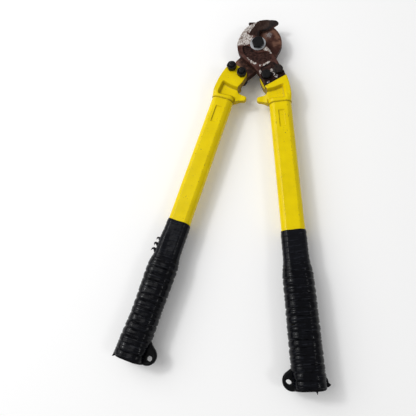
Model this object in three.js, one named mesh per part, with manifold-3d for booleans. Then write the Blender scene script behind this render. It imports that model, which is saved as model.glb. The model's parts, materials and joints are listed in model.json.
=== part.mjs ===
// Long-handled cable cutter: two hooked shear blades on one pivot bolt, each bolted to a cast
// handle head, a flattened steel tube and a rubber grip wound with tape.
// Millimetres, +Z up. The tool lies flat: the pivot axis is vertical and the jaws point to +Y.
// The left arm is the right one turned over about the tool's long centre line, with its own
// blade crown and its own trimmed inner edges.

import * as THREE from 'three';
import { mergeVertices } from 'three/addons/utils/BufferGeometryUtils.js';
import Module from 'manifold-3d';

const wasm = await Module();
wasm.setup();

// ---------- driving dimensions (mm) ----------

const GAP = 0.3;                       // clearance between pieces that touch
const HALF_GAP = GAP / 2;
const CURVE_STEPS = 3;
const HALF_SPREAD = THREE.MathUtils.degToRad(10.87);   // each tube's angle to the centre line
const PIVOT_Y = 215.515;               // pivot from the middle of the tool's length

const BLADE_T = 10;                    // one blade's thickness, and its recesses
const HEEL_R = 31.2;
const EYE_R = 12.6;
const RECESS_DEPTH = 2;
const BOLT_SEAT_DEPTH = 1.2;
const BEVEL_ANGLE = THREE.MathUtils.degToRad(22);
const BEVEL_FROM = [-9.9, 18.4];       // the ground face's upper line, from low to high
const BEVEL_TO = [3, 36.2];
const HEEL_END = THREE.MathUtils.degToRad(205);
const EYE_START = THREE.MathUtils.degToRad(-12);
const EYE_END = THREE.MathUtils.degToRad(78);

const BUSH_R = 6.3;                    // pivot stack
const PIVOT_BOLT_R = 5;
const PIVOT_HEAD_AF = 16.5;
const PIVOT_HEAD_H = 4.6;
const PIVOT_NUT_H = 7;
const PIVOT_WASHER_R = 11.6;
const PIVOT_WASHER_T = 1.5;
const PIVOT_BOLT_TAIL = 1.7;
const PIVOT_WASHER_TOP = BLADE_T + GAP + PIVOT_WASHER_T;
const PIVOT_HEAD_Z = PIVOT_WASHER_TOP + GAP;
const PIVOT_NUT_LOW = -PIVOT_HEAD_Z - PIVOT_NUT_H;
const PIVOT_BOLT_END = PIVOT_NUT_LOW - PIVOT_BOLT_TAIL;

const BOLT_R = 4;                      // blade bolts
const BOLT_AF = 13;
const BOLT_SPOT_R = 7.8;
const BOLT_HEAD_H = 5.3;
const NUT_H = 6.5;
const BOLT_TAIL = 2.4;
const INNER_BOLT = [8.1, -53.9];
const OUTER_BOLT = [25.6, -47.8];

const HEAD_HALF_T = 11;                // cast handle head
const HEAD_ROUND = 1.6;
const POCKET_FLOOR = 5.6;
const LUG_HALF_T = 3.8;
const LUG_RAMP_X = [-1, 9];            // the pocket floor slopes down to the stop lug here
const COLLAR_Y = -98.6;
const SHANK_END_Y = -136;
const SHOULDER_LINE = [[-30, -87.6], [60, -46.1]];   // the step that the blade's end meets
const CUT_OVER = 5;                    // how far a cutter passes beyond what it cuts

const TUBE_X = 24.3;                   // tube axis beside the pivot
const TUBE_HALF_W = 16;
const TUBE_HALF_D = 10.5;
const TUBE_FLAT = 8.7;
const TUBE_WALL = 2;
const TUBE_END_Y = -478;
const STAKE = { width: 8.6, length: 26, depth: 0.8, topY: -112 };

const SLEEVE_TOP_Y = -345;             // rubber sleeve and its hanging ear
const SLEEVE_END_Y = -487;
const EAR = { x: 3.6, y: -474.6, radius: 11.6, halfT: 4.6, holeX: 0, holeY: -476.3, holeR: 4.3 };
const TAPE_T = 1.1;
const TAPE_TOP_Y = { right: -287, left: -293 };
const TAPE_END_Y = -484.5;

// ---------- materials ----------

const finish = (color, roughness, metalness) =>
  new THREE.MeshStandardMaterial({ color, roughness, metalness });
const yellowPaint = finish(0xe8d010, 0.4, 0.1);
const bladeSteel = finish(0x6b4a42, 0.6, 0.5);
const blackOxide = finish(0x2b2b2c, 0.5, 0.6);
const brightZinc = finish(0xb9bcbf, 0.3, 0.9);
const bronze = finish(0xa07a3c, 0.4, 0.8);
const blackRubber = finish(0x1c1c1d, 0.7, 0);
const blackTape = finish(0x151516, 0.35, 0);

// ---------- solid helpers ----------

function toSolid(geometry) {
  const plain = geometry.clone();
  plain.deleteAttribute('normal');
  plain.deleteAttribute('uv');
  const merged = mergeVertices(plain, 1e-4);
  const vertProperties = new Float32Array(merged.attributes.position.array);
  const triVerts = new Uint32Array(merged.index.array);
  return new wasm.Manifold(new wasm.Mesh({ numProp: 3, vertProperties, triVerts }));
}

function toGeometry(solid) {
  const mesh = solid.getMesh();
  const geometry = new THREE.BufferGeometry();
  geometry.setAttribute('position', new THREE.BufferAttribute(mesh.vertProperties, 3));
  geometry.setIndex(new THREE.BufferAttribute(mesh.triVerts, 1));
  return geometry;
}

// The outline's points, without the repeated ones where its stretches meet.
function cleanShape(shape) {
  const points = shape.getPoints(CURVE_STEPS);
  const kept = points.filter((point, i) => {
    const next = points[(i + 1) % points.length];
    return point.distanceTo(next) > 0.05;
  });
  return new THREE.Shape(kept);
}

function prism(shape, zLow, zHigh) {
  const geometry = new THREE.ExtrudeGeometry(cleanShape(shape), {
    depth: zHigh - zLow,
    bevelEnabled: false,
  });
  geometry.translate(0, 0, zLow);
  return toSolid(geometry);
}

// The outline moved inwards by a distance, point by point.
function inset(points, distance) {
  return points.map((point, i) => {
    const before = points[(i + points.length - 1) % points.length];
    const after = points[(i + 1) % points.length];
    const into = point.clone().sub(before).normalize();
    const out = after.clone().sub(point).normalize();
    const normal = new THREE.Vector2(-into.y - out.y, into.x + out.x).normalize();
    const spread = Math.max(0.6, normal.dot(new THREE.Vector2(-into.y, into.x)));
    return point.clone().addScaledVector(normal, distance / spread);
  });
}

// Prism whose top and bottom rims are rounded; the sides keep their full size.
function roundedPrism(shape, zLow, zHigh, round, steps = 3) {
  const outline = cleanShape(shape).getPoints();
  if (THREE.ShapeUtils.isClockWise(outline)) {
    outline.reverse();
  }
  const rings = [];
  for (const end of [-1, 1]) {
    for (let i = 0; i <= steps; i += 1) {
      const angle = ((end < 0 ? i : steps - i) / steps) * (Math.PI / 2);
      const z = end < 0 ? zLow + round * Math.sin(angle) : zHigh - round * Math.sin(angle);
      const moved = inset(outline, round * (1 - Math.cos(Math.PI / 2 - angle)));
      rings.push(moved.map((point) => new THREE.Vector3(point.x, point.y, z)));
    }
  }
  return loft(rings, THREE.ShapeUtils.triangulateShape(outline, []));
}

function bar(radius, zLow, zHigh, x = 0, y = 0, sides = 24) {
  const geometry = new THREE.CylinderGeometry(radius, radius, zHigh - zLow, sides);
  geometry.rotateX(Math.PI / 2);
  geometry.translate(x, y, (zLow + zHigh) / 2);
  return toSolid(geometry);
}

// Turned solid about the vertical axis, from [radius, z] points that start and end on the axis.
function turned(profile, sides = 24) {
  const geometry = new THREE.LatheGeometry(profile.map(([r, z]) => new THREE.Vector2(r, z)), sides);
  geometry.rotateX(Math.PI / 2);
  return toSolid(geometry);
}

// Closed body through rings of points, which all have the same number of points. The end
// faces are fans unless their triangles are given.
function loft(rings, endFaces = null) {
  const count = rings[0].length;
  const positions = rings.flat().flatMap((p) => [p.x, p.y, p.z]);
  const index = [];
  const last = (rings.length - 1) * count;
  for (let r = 0; r + 1 < rings.length; r += 1) {
    for (let i = 0; i < count; i += 1) {
      const a = r * count + i;
      const b = r * count + ((i + 1) % count);
      index.push(a, b, a + count, b, b + count, a + count);
    }
  }
  const fan = rings[0].slice(2).map((_, i) => [0, i + 1, i + 2]);
  for (const [a, b, c] of endFaces ?? fan) {
    index.push(a, c, b);
    index.push(last + a, last + b, last + c);
  }
  const geometry = new THREE.BufferGeometry();
  geometry.setAttribute('position', new THREE.Float32BufferAttribute(positions, 3));
  geometry.setIndex(index);
  return toSolid(geometry);
}

function polygon(points) {
  return new THREE.Shape(points.map(([x, y]) => new THREE.Vector2(x, y)));
}

function spline(shape, points) {
  shape.splineThru(points.map(([x, y]) => new THREE.Vector2(x, y)));
}

// ---------- hardware ----------

function hexagon(acrossFlats) {
  const radius = acrossFlats / Math.sqrt(3);
  const corners = [];
  for (let i = 0; i < 6; i += 1) {
    const angle = (i / 6) * Math.PI * 2;
    corners.push([radius * Math.cos(angle), radius * Math.sin(angle)]);
  }
  return polygon(corners);
}

// Hexagonal block whose corners are turned down to a cone on the top, and below if asked.
function hexBlock(acrossFlats, zLow, zHigh, bothEnds) {
  const corner = acrossFlats / Math.sqrt(3);
  const face = acrossFlats / 2 - 0.2;
  const drop = (corner - face) * 0.6;
  const lowFace = bothEnds ? [[face, zLow], [corner + 0.1, zLow + drop]] : [[corner + 0.1, zLow]];
  const cone = turned([
    [0, zLow], ...lowFace, [corner + 0.1, zHigh - drop], [face, zHigh], [0, zHigh],
  ]);
  return prism(hexagon(acrossFlats), zLow - 1, zHigh + 1).intersect(cone);
}

// Bolt along Z: hexagonal head above headZ, shank down to endZ with a rounded end.
function hexBolt({ radius, acrossFlats, headZ, headH, endZ }) {
  const shank = turned([
    [0, endZ], [radius * 0.55, endZ + 0.25], [radius * 0.85, endZ + 0.9], [radius, endZ + 1.8],
    [radius, headZ + 1], [0, headZ + 1],
  ]);
  return hexBlock(acrossFlats, headZ, headZ + headH, false).add(shank);
}

function hexNut({ radius, acrossFlats, zLow, zHigh }) {
  const bore = bar(radius + GAP, zLow - 1, zHigh + 1);
  return hexBlock(acrossFlats, zLow, zHigh, true).subtract(bore);
}

function washer(innerR, outerR, zLow, zHigh) {
  return bar(outerR, zLow, zHigh, 0, 0, 40).subtract(bar(innerR, zLow - 1, zHigh + 1, 0, 0, 24));
}

// ---------- blades ----------

// Each blade, from the eye round by the throat, the cutting edge, the hook's nose and the crown
// to the heel circle, and then down the tail's inner edge.
const frontBlade = {
  neck: [[3.3, 17.6], [3.9, 22.8], [5.6, 26.2]],
  edge: [[10.4, 26.9], [20, 28.9]],
  nose: [[31.8, 33.9], [34.2, 36.4], [32.9, 39.3]],
  crown: [[28.7, 41.3], [18.4, 42.4], [5.6, 40.2], [-7.5, 35.4], [-16.8, 29.8], [-24.4, 20.2]],
  heelFrom: 152,
  tail: [[-3.4, -48], [2.2, -62.4], [5, -71.3]],
};
const rearBlade = {
  neck: [[4.9, 17.6], [6.2, 23], [8.6, 26.6]],
  edge: [[13.4, 28.2], [20, 30.8]],
  nose: [[25.4, 34.8], [27.2, 38.4], [26.8, 40.4]],
  crown: [[19.5, 42.2], [6, 43.4], [-8, 41.2], [-18.3, 36.4], [-28, 26], [-33.2, 12.4]],
  heelFrom: 186,
  tail: [[-3.6, -47.2], [0.7, -53], [4.8, -62.4], [8, -69.9]],
};

function onCircle(radius, angle) {
  return [radius * Math.cos(angle), radius * Math.sin(angle)];
}

function bladeOutline({ neck, edge, nose, crown, heelFrom, tail }) {
  const shape = new THREE.Shape();
  const heelStart = THREE.MathUtils.degToRad(heelFrom);
  shape.moveTo(...tail[tail.length - 1]);
  shape.lineTo(36.4, -56.9);
  spline(shape, [[32.9, -47], [27.8, -36.5], [25.2, -28.8]]);
  spline(shape, [[20.9, -21.1], [17, -13.6], onCircle(EYE_R, EYE_START)]);
  shape.absarc(0, 0, EYE_R, EYE_START, EYE_END, false);
  spline(shape, neck);
  spline(shape, [...edge, nose[0]]);
  spline(shape, [nose[1], nose[2]]);
  spline(shape, [...crown, onCircle(HEEL_R, heelStart)]);
  shape.absarc(0, 0, HEEL_R, heelStart, HEEL_END, false);
  spline(shape, [[-20.4, -24.2], [-10.2, -36.4], ...tail]);
  return shape;
}

function recessOutline() {
  const shape = new THREE.Shape();
  shape.moveTo(-22.6, -1.2);
  spline(shape, [[-17.5, -1], [-12.4, -3.4], [-8.8, -9.4], [-3.4, -13.8], [4.3, -14.8]]);
  spline(shape, [[11.6, -15], [17.4, -19], [18.6, -25], [15, -30.4], [8, -32.2], [-0.5, -33]]);
  spline(shape, [[-9.4, -27.8], [-18.4, -19], [-23, -9], [-22.6, -1.2]]);
  return shape;
}

function boltSeatOutline() {
  const shape = new THREE.Shape();
  shape.moveTo(0.6, -41);
  spline(shape, [[8.4, -36.8], [17.6, -33], [22.4, -36]]);
  shape.lineTo(40, -58);
  shape.lineTo(8.2, -73.5);
  spline(shape, [[5.4, -62], [2, -52], [0.6, -41]]);
  return shape;
}

// The ground face falls from the blade's outer face, along the bevel line, to the cutting edge.
function bevelCutter() {
  const [fromX, fromY] = BEVEL_FROM;
  const [toX, toY] = BEVEL_TO;
  const block = new THREE.BoxGeometry(90, 90, 40);
  block.translate(0, -45, 20);
  block.rotateX(BEVEL_ANGLE);
  block.rotateZ(Math.atan2(toY - fromY, toX - fromX));
  block.translate(toX, toY, BLADE_T);
  const reach = polygon([BEVEL_FROM, [0.9, 13.6], [14, 13.6], [60, 20], [60, 60], [20, 60]]);
  return toSolid(block).intersect(prism(reach, -CUT_OVER, BLADE_T + CUT_OVER));
}

function blade(form) {
  const above = BLADE_T + CUT_OVER;
  let body = prism(bladeOutline(form), HALF_GAP, BLADE_T);
  body = body.subtract(bevelCutter());
  body = body.subtract(prism(recessOutline(), BLADE_T - RECESS_DEPTH, above));
  body = body.subtract(prism(boltSeatOutline(), BLADE_T - BOLT_SEAT_DEPTH, above));
  body = body.subtract(bar(BUSH_R + GAP, -CUT_OVER, above, 0, 0, 32));
  for (const [x, y] of [INNER_BOLT, OUTER_BOLT]) {
    body = body.subtract(bar(BOLT_R + GAP, -CUT_OVER, above, x, y));
    body = body.subtract(bar(BOLT_SPOT_R, BLADE_T - BOLT_SEAT_DEPTH, above, x, y));
  }
  return toGeometry(body);
}

// ---------- cast handle head ----------

// The casting's inner edge, from its top corner down to the stop lug.
const rightInnerEdge = [
  [4.4, -47], [0.2, -49.4], [-1.9, -54], [-0.8, -61], [2.8, -70.5], [6.3, -76], [6.6, -79],
];
const leftInnerEdge = [
  [4.4, -47.2], [1.5, -50.2], [0.2, -55], [1, -61], [4, -70.5], [6.5, -76], [6.6, -79],
];

function headOutline(innerEdge) {
  const shape = new THREE.Shape();
  const neckX = TUBE_X - TUBE_HALF_W + 0.2;
  const outerX = TUBE_X + TUBE_HALF_W + 0.6;
  shape.moveTo(...innerEdge[0]);
  spline(shape, innerEdge.slice(1));
  spline(shape, [[5, -81.6], [1.4, -83.2], [-6.2, -84.2]]);
  spline(shape, [[-8.4, -85.6], [-8.8, -89.8], [-7.2, -92.2]]);
  spline(shape, [[0, -93], [6.2, -94.6], [neckX, COLLAR_Y]]);
  shape.lineTo(outerX, COLLAR_Y);
  spline(shape, [[41.2, -90], [40.9, -80], [39.6, -68], [36.9, -56.4], [33.4, -46.4]]);
  spline(shape, [[30, -41.8], [24.6, -41.3], [19.8, -41.9], innerEdge[0]]);
  return shape;
}

function pocketOutline() {
  const shape = new THREE.Shape();
  shape.moveTo(6.4, -76.4);
  spline(shape, [[17.2, -75], [26, -72], [30.6, -71]]);
  spline(shape, [[32.6, -73], [33.4, -80], [34, -90.4]]);
  spline(shape, [[31.6, -93.4], [16.4, -92.8], [6, -92.4]]);
  shape.lineTo(-14, -96);
  shape.lineTo(-14, -80);
  shape.lineTo(6.4, -76.4);
  return shape;
}

// Oval ring with flat top and bottom, in the plane across the tube at the given y.
function ovalRing(y, halfW, halfD, flat, segments = 7) {
  const points = [];
  const corners = [[1, 0], [-1, 1], [-1, 2], [1, 3]];
  for (const [side, quarter] of corners) {
    for (let i = 0; i <= segments; i += 1) {
      const angle = (quarter + i / segments) * (Math.PI / 2);
      const x = TUBE_X + side * flat + (halfW - flat) * Math.cos(angle);
      points.push(new THREE.Vector3(x, y, halfD * Math.sin(angle)));
    }
  }
  return points;
}

function ovalBar(stations, grow = 0) {
  return loft(stations.map(([y, w, d, flat]) => ovalRing(y, w + grow, d + grow, flat)));
}

// What is taken off one face in the pocket: flat over the web, then sloping down to the lug.
function pocketCutter(face) {
  const [lugX, webX] = LUG_RAMP_X;
  const top = HEAD_HALF_T + CUT_OVER;
  const profile = polygon([
    [-20, LUG_HALF_T], [lugX, LUG_HALF_T], [webX, POCKET_FLOOR], [45, POCKET_FLOOR], [45, top], [-20, top],
  ]);
  const swept = new THREE.ExtrudeGeometry(profile, { depth: 60, bevelEnabled: false });
  swept.rotateX(Math.PI / 2);
  swept.translate(0, -50, 0);
  const cutter = toSolid(swept).intersect(prism(pocketOutline(), 0, top));
  return face === 'front' ? cutter : cutter.mirror([0, 0, 1]);
}

function handleHead(innerEdge) {
  let body = roundedPrism(headOutline(innerEdge), -HEAD_HALF_T, HEAD_HALF_T, HEAD_ROUND);
  const seat = polygon([[-30, -20], ...SHOULDER_LINE, [60, -20]]);
  body = body.subtract(prism(seat, -HALF_GAP, HEAD_HALF_T + CUT_OVER));
  body = body.subtract(pocketCutter('front')).subtract(pocketCutter('rear'));
  const inside = TUBE_WALL + GAP;
  const shank = ovalBar([
    [COLLAR_Y + 6, TUBE_HALF_W - inside, TUBE_HALF_D - inside, TUBE_FLAT],
    [SHANK_END_Y, TUBE_HALF_W - inside, TUBE_HALF_D - inside, TUBE_FLAT],
  ]);
  body = body.add(shank);
  for (const [x, y] of [INNER_BOLT, OUTER_BOLT]) {
    body = body.subtract(bar(BOLT_R + GAP, -HEAD_HALF_T - CUT_OVER, CUT_OVER, x, y));
  }
  return toGeometry(body);
}

// ---------- handle tube ----------

function handleTube() {
  const top = COLLAR_Y - GAP;
  const section = [TUBE_HALF_W, TUBE_HALF_D, TUBE_FLAT];
  const bore = [TUBE_HALF_W - TUBE_WALL, TUBE_HALF_D - TUBE_WALL, TUBE_FLAT];
  let body = ovalBar([[top, ...section], [TUBE_END_Y, ...section]]);
  body = body.subtract(ovalBar([[top + CUT_OVER, ...bore], [TUBE_END_Y - CUT_OVER, ...bore]]));
  const mark = new THREE.BoxGeometry(STAKE.width, STAKE.length, 2);
  for (const side of [1, -1]) {
    const dent = mark.clone();
    const z = side * (TUBE_HALF_D + 1 - STAKE.depth);
    dent.translate(TUBE_X, STAKE.topY - STAKE.length / 2, z);
    body = body.subtract(toSolid(dent));
  }
  return toGeometry(body);
}

// ---------- grip ----------

// Outer size of the rubber sleeve: [y, half width, half depth, half flat].
const sleeveStations = [
  [SLEEVE_TOP_Y, 17.2, 12.2, 8],
  [-350, 18.3, 13.2, 7.2],
  [-357, 19, 14, 6.6],
  [-420, 19.2, 14.4, 6],
  [-460, 19.8, 15, 6],
  [-478, 20.4, 15.6, 6],
  [-484.6, 20, 15.2, 6],
  [SLEEVE_END_Y, 17.6, 12.6, 5],
];

function earSolid(grow) {
  const lobe = new THREE.Shape();
  const root = EAR.x + 8;
  lobe.moveTo(root, EAR.y - EAR.radius - grow);
  lobe.lineTo(root, EAR.y + EAR.radius + 1.4 + grow);
  lobe.lineTo(EAR.x, EAR.y + EAR.radius + grow);
  lobe.absarc(EAR.x, EAR.y, EAR.radius + grow, Math.PI / 2, Math.PI * 1.5, false);
  return prism(lobe, -EAR.halfT - grow, EAR.halfT + grow);
}

function gripSleeve() {
  const bore = [TUBE_HALF_W + GAP, TUBE_HALF_D + GAP, TUBE_FLAT];
  const hollow = ovalBar([[SLEEVE_TOP_Y + CUT_OVER, ...bore], [TUBE_END_Y - GAP, ...bore]]);
  let body = ovalBar(sleeveStations).add(earSolid(0)).subtract(hollow);
  body = body.subtract(bar(EAR.holeR, -30, 30, EAR.holeX, EAR.holeY));
  return toGeometry(body);
}

// The tape follows the bare tube, climbs over the sleeve's mouth and covers the sleeve.
function tapeWrap(topY) {
  const onTube = [TUBE_HALF_W + GAP, TUBE_HALF_D + GAP, TUBE_FLAT];
  const onMouth = [TUBE_HALF_W + 1.5, TUBE_HALF_D + 2, 8];
  const covered = sleeveStations.slice(1, -1).map(([y, w, d, f]) => [y, w + GAP, d + GAP, f]);
  const inner = [[topY, ...onTube], [-336, ...onTube], [SLEEVE_TOP_Y + 2, ...onMouth], ...covered];
  inner[inner.length - 1][0] = TAPE_END_Y;
  const outer = ovalBar(inner, TAPE_T);
  const openTop = [topY + 4, ...onTube];
  const openEnd = [TAPE_END_Y - 4, ...inner[inner.length - 1].slice(1)];
  const hollow = ovalBar([openTop, ...inner, openEnd]);
  return toGeometry(outer.subtract(hollow).subtract(earSolid(GAP)));
}

// ---------- assembly ----------

const tool = new THREE.Group();
tool.position.set(0, PIVOT_Y, -PIVOT_BOLT_END);   // the pivot bolt's end touches the ground

function place(group, name, geometry, material) {
  const mesh = new THREE.Mesh(geometry, material);
  mesh.name = name;
  group.add(mesh);
  return mesh;
}

function buildArm(group, side, bladeName, bladeForm, headInnerEdge) {
  place(group, bladeName, blade(bladeForm), bladeSteel);
  place(group, `handle_head_${side}`, handleHead(headInnerEdge), yellowPaint);
  place(group, `handle_tube_${side}`, handleTube(), yellowPaint);
  place(group, `grip_sleeve_${side}`, gripSleeve(), blackRubber);
  place(group, `tape_wrap_${side}`, tapeWrap(TAPE_TOP_Y[side]), blackTape);
  const nutTop = -HEAD_HALF_T - GAP;
  const bolt = hexBolt({
    radius: BOLT_R,
    acrossFlats: BOLT_AF,
    headZ: BLADE_T - BOLT_SEAT_DEPTH + GAP,
    headH: BOLT_HEAD_H,
    endZ: nutTop - NUT_H - BOLT_TAIL,
  });
  const nut = hexNut({ radius: BOLT_R, acrossFlats: BOLT_AF, zLow: nutTop - NUT_H, zHigh: nutTop });
  const seats = { inner: INNER_BOLT, outer: OUTER_BOLT };
  for (const [where, [x, y]] of Object.entries(seats)) {
    place(group, `blade_bolt_${side}_${where}`, toGeometry(bolt), blackOxide).position.set(x, y, 0);
    place(group, `blade_nut_${side}_${where}`, toGeometry(nut), blackOxide).position.set(x, y, 0);
  }
}

function buildPivot(group) {
  const washerLow = BLADE_T + GAP;
  const boreR = PIVOT_BOLT_R + GAP;
  const pivotBolt = hexBolt({
    radius: PIVOT_BOLT_R,
    acrossFlats: PIVOT_HEAD_AF,
    headZ: PIVOT_HEAD_Z,
    headH: PIVOT_HEAD_H,
    endZ: PIVOT_BOLT_END,
  });
  const pivotNut = hexNut({
    radius: PIVOT_BOLT_R,
    acrossFlats: PIVOT_HEAD_AF,
    zLow: PIVOT_NUT_LOW,
    zHigh: -PIVOT_HEAD_Z,
  });
  const frontWasher = washer(boreR, PIVOT_WASHER_R, washerLow, PIVOT_WASHER_TOP);
  const rearWasher = washer(boreR, PIVOT_WASHER_R, -PIVOT_WASHER_TOP, -washerLow);
  place(group, 'pivot_bolt', toGeometry(pivotBolt), blackOxide);
  place(group, 'pivot_nut', toGeometry(pivotNut), blackOxide);
  place(group, 'pivot_washer_front', toGeometry(frontWasher), brightZinc);
  place(group, 'pivot_washer_rear', toGeometry(rearWasher), brightZinc);
  place(group, 'pivot_bush', toGeometry(washer(boreR, BUSH_R, -BLADE_T, BLADE_T)), bronze);
}

const rightArm = new THREE.Group();
rightArm.rotation.z = HALF_SPREAD;
buildArm(rightArm, 'right', 'blade_front', frontBlade, rightInnerEdge);
tool.add(rightArm);

const leftArm = new THREE.Group();
leftArm.rotation.z = HALF_SPREAD;
buildArm(leftArm, 'left', 'blade_rear', rearBlade, leftInnerEdge);
const turnedOver = new THREE.Group();
turnedOver.rotation.y = Math.PI;
turnedOver.add(leftArm);
tool.add(turnedOver);

const pivotStack = new THREE.Group();
buildPivot(pivotStack);
tool.add(pivotStack);

const cutter = new THREE.Group();
cutter.add(tool);

export default cutter;
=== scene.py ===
"""Looks of the long-handled cable cutter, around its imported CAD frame.

Each arm is drawn in its own frame, in millimetres: origin on the pivot, the handle along -Y, the
blade's outer face up. to_row() brings those points into the row frame, in metres; the left arm is
the right one turned over about the tool's long centre line.
"""

import json
import math

import bpy
import numpy as np
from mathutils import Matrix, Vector, geometry


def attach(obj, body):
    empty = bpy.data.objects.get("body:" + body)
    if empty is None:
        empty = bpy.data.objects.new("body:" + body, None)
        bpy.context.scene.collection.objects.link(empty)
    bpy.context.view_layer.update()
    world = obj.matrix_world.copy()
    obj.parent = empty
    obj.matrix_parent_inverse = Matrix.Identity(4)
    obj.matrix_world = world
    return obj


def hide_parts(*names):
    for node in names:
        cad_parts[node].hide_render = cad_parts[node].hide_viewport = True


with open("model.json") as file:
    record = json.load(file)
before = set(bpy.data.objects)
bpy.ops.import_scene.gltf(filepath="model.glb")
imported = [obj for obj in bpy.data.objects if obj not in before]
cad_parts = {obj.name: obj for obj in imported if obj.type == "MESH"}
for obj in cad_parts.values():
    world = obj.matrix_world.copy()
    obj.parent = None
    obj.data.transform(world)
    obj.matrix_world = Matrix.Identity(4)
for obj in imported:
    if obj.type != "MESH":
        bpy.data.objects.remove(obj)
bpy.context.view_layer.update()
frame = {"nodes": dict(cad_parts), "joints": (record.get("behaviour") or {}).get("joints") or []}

# ---------- driving sizes (mm, in an arm's own frame) ----------

MM = 0.001
PIVOT = np.array(frame["joints"][0]["pos_m"])
HALF_SPREAD = math.radians(10.87)
GAP = 0.3

BLADE_T = 10.0
BLADE_LOW = GAP / 2
HEEL_R = 31.2
EYE_R = 12.6
RECESS_DEPTH = 2.0
SEAT_DEPTH = 1.2
BEVEL_SLOPE = 0.404
BEVEL_POINT = (3.0, 36.2)
BEVEL_FALL = (0.81, -0.586)
BEVEL_RUN = (0.586, 0.81)

BUSH_HOLE_R = 6.6
BOLT_HOLE_R = 4.3
BOLTS = {"inner": (8.1, -53.9), "outer": (25.6, -47.8)}
BOLT_SPOT_R = 7.8

HEAD_HALF = 11.0
HEAD_ROUND = 1.6
POCKET_FLOOR = 5.6
LUG_HALF = 3.8
COLLAR_Y = -98.6
SHOULDER = ((5.0, -71.45), (36.4, -56.98))

TUBE_X = 24.3
TUBE_HALF_W = 16.0
TUBE_HALF_D = 10.5
TUBE_FLAT = 8.7
TUBE_WALL = 2.0
TUBE_END_Y = -478.0
STAKE_X = (20.2, 29.0)
STAKE_Y = (-138.0, -112.0)
STAKE_DEPTH = 1.2

SLEEVE_TOP_Y = -345.0
SLEEVE_END_Y = -487.0
TAPE_TOP_Y = {"right": -287.0, "left": -293.0}
TAPE_END_Y = -484.8
EAR_X = 4.2
EAR_HALF = 4.6
EAR_HOLE = (0.0, -476.3)
EARS = {
    "right": {"y": -475.4, "r": 12.2, "flare": 5.0, "hole_r": (3.6, 2.7)},
    "left": {"y": -473.8, "r": 12.6, "flare": 9.0, "hole_r": (4.0, 3.5)},
}

# ---------- frames and small maths ----------


TURN = np.array([
    [math.cos(HALF_SPREAD), -math.sin(HALF_SPREAD), 0],
    [math.sin(HALF_SPREAD), math.cos(HALF_SPREAD), 0],
    [0, 0, 1],
])
FLIP = {"right": (1, 1, 1), "left": (-1, 1, -1)}


def to_row(points, side):
    """Points of an arm's own frame, in mm, as row-frame metres."""
    return np.asarray(points, float) @ TURN.T * FLIP[side] * MM + PIVOT


def to_arm(points, side):
    """The way back from to_row()."""
    return (np.asarray(points, float) - PIVOT) / MM * FLIP[side] @ TURN


def ramp(value, start, end):
    """Smooth step from 0 at start to 1 at end."""
    t = np.clip((value - start) / (end - start), 0, 1)
    return t * t * (3 - 2 * t)


def near(value, line, inner, outer):
    """1 within inner of a line, falling smoothly to 0 at outer from it."""
    return ramp(np.abs(value - line), outer, inner)


def rim_fall(distance, radius):
    """How far a rounded rim of that radius falls, at a distance in from the outline."""
    d = np.clip(distance, 0, radius)
    return radius - np.sqrt(radius**2 - (radius - d) ** 2)


def field(points, size, seed):
    """Smooth random field between -1 and 1, with bumps of about that size in mm."""
    cells = 24
    table = np.random.default_rng(seed).uniform(-1, 1, (cells, cells, cells))
    scaled = np.asarray(points, float) / size
    cell = np.floor(scaled).astype(int)
    part = scaled - cell
    part = part * part * (3 - 2 * part)
    total = np.zeros(len(scaled))
    for corner in np.ndindex(2, 2, 2):
        weight = np.prod(np.where(np.array(corner) == 1, part, 1 - part), axis=1)
        i, j, k = ((cell + corner) % cells).T
        total += weight * table[i, j, k]
    return total


def spline(points, step=0.7, closed=False):
    """Points about a step apart on a Catmull-Rom curve through the given ones."""
    p = np.asarray(points, float)
    ends = (p[-1:], p[:2]) if closed else (p[:1], p[-1:])
    p = np.vstack([ends[0], p, ends[1]])
    out = []
    for a, b, c, d in zip(p, p[1:], p[2:], p[3:]):
        count = max(1, round(np.linalg.norm(c - b) / step))
        for t in np.arange(count) / count:
            slope_b, slope_c = (c - a) / 2, (d - b) / 2
            out.append(
                (2 * t**3 - 3 * t**2 + 1) * b
                + (t**3 - 2 * t**2 + t) * slope_b
                + (3 * t**2 - 2 * t**3) * c
                + (t**3 - t**2) * slope_c
            )
    if not closed:
        out.append(p[-1])
    return np.array(out)


def arc(centre, radius, start, end, step=0.7):
    count = max(8, round(abs(math.radians(end - start)) * radius / step))
    angles = np.radians(np.linspace(start, end, count + 1))
    return np.stack([centre[0] + radius * np.cos(angles), centre[1] + radius * np.sin(angles)], 1)


def arc_point(radius, degrees, centre=(0, 0)):
    return tuple(arc(centre, radius, degrees, degrees)[0])


def circle(centre, radius, step=0.7):
    return arc(centre, radius, 0, 360, step)[:-1]


def divided(points, step):
    """An open path with points added until it has no long gaps."""
    out = []
    for a, b in zip(points, points[1:]):
        count = max(1, round(np.linalg.norm(b - a) / step))
        out.extend(a + (b - a) * t for t in np.arange(count) / count)
    return np.array([*out, points[-1]])


def loop_of(*stretches, step=0.7):
    """A closed outline with no long gaps from arcs, straight runs, and lists of points on a curve."""
    curved = [spline(part) if isinstance(part, list) and len(part) > 2 else part for part in stretches]
    points = np.vstack(curved)
    gaps = np.linalg.norm(points - np.roll(points, 1, axis=0), axis=1)
    points = points[gaps > 0.05]
    return divided(np.vstack([points, points[:1]]), step)[:-1]


def distance_to(points, path, closed=True):
    """Distance from each point to a path of points."""
    a = path if closed else path[:-1]
    b = np.roll(path, -1, axis=0) if closed else path[1:]
    best = np.full(len(points), np.inf)
    for start, end in zip(a, b):
        along = end - start
        t = np.clip((points - start) @ along / max(along @ along, 1e-12), 0, 1)
        best = np.minimum(best, np.hypot(*(points - start - t[:, None] * along).T))
    return best


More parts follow.
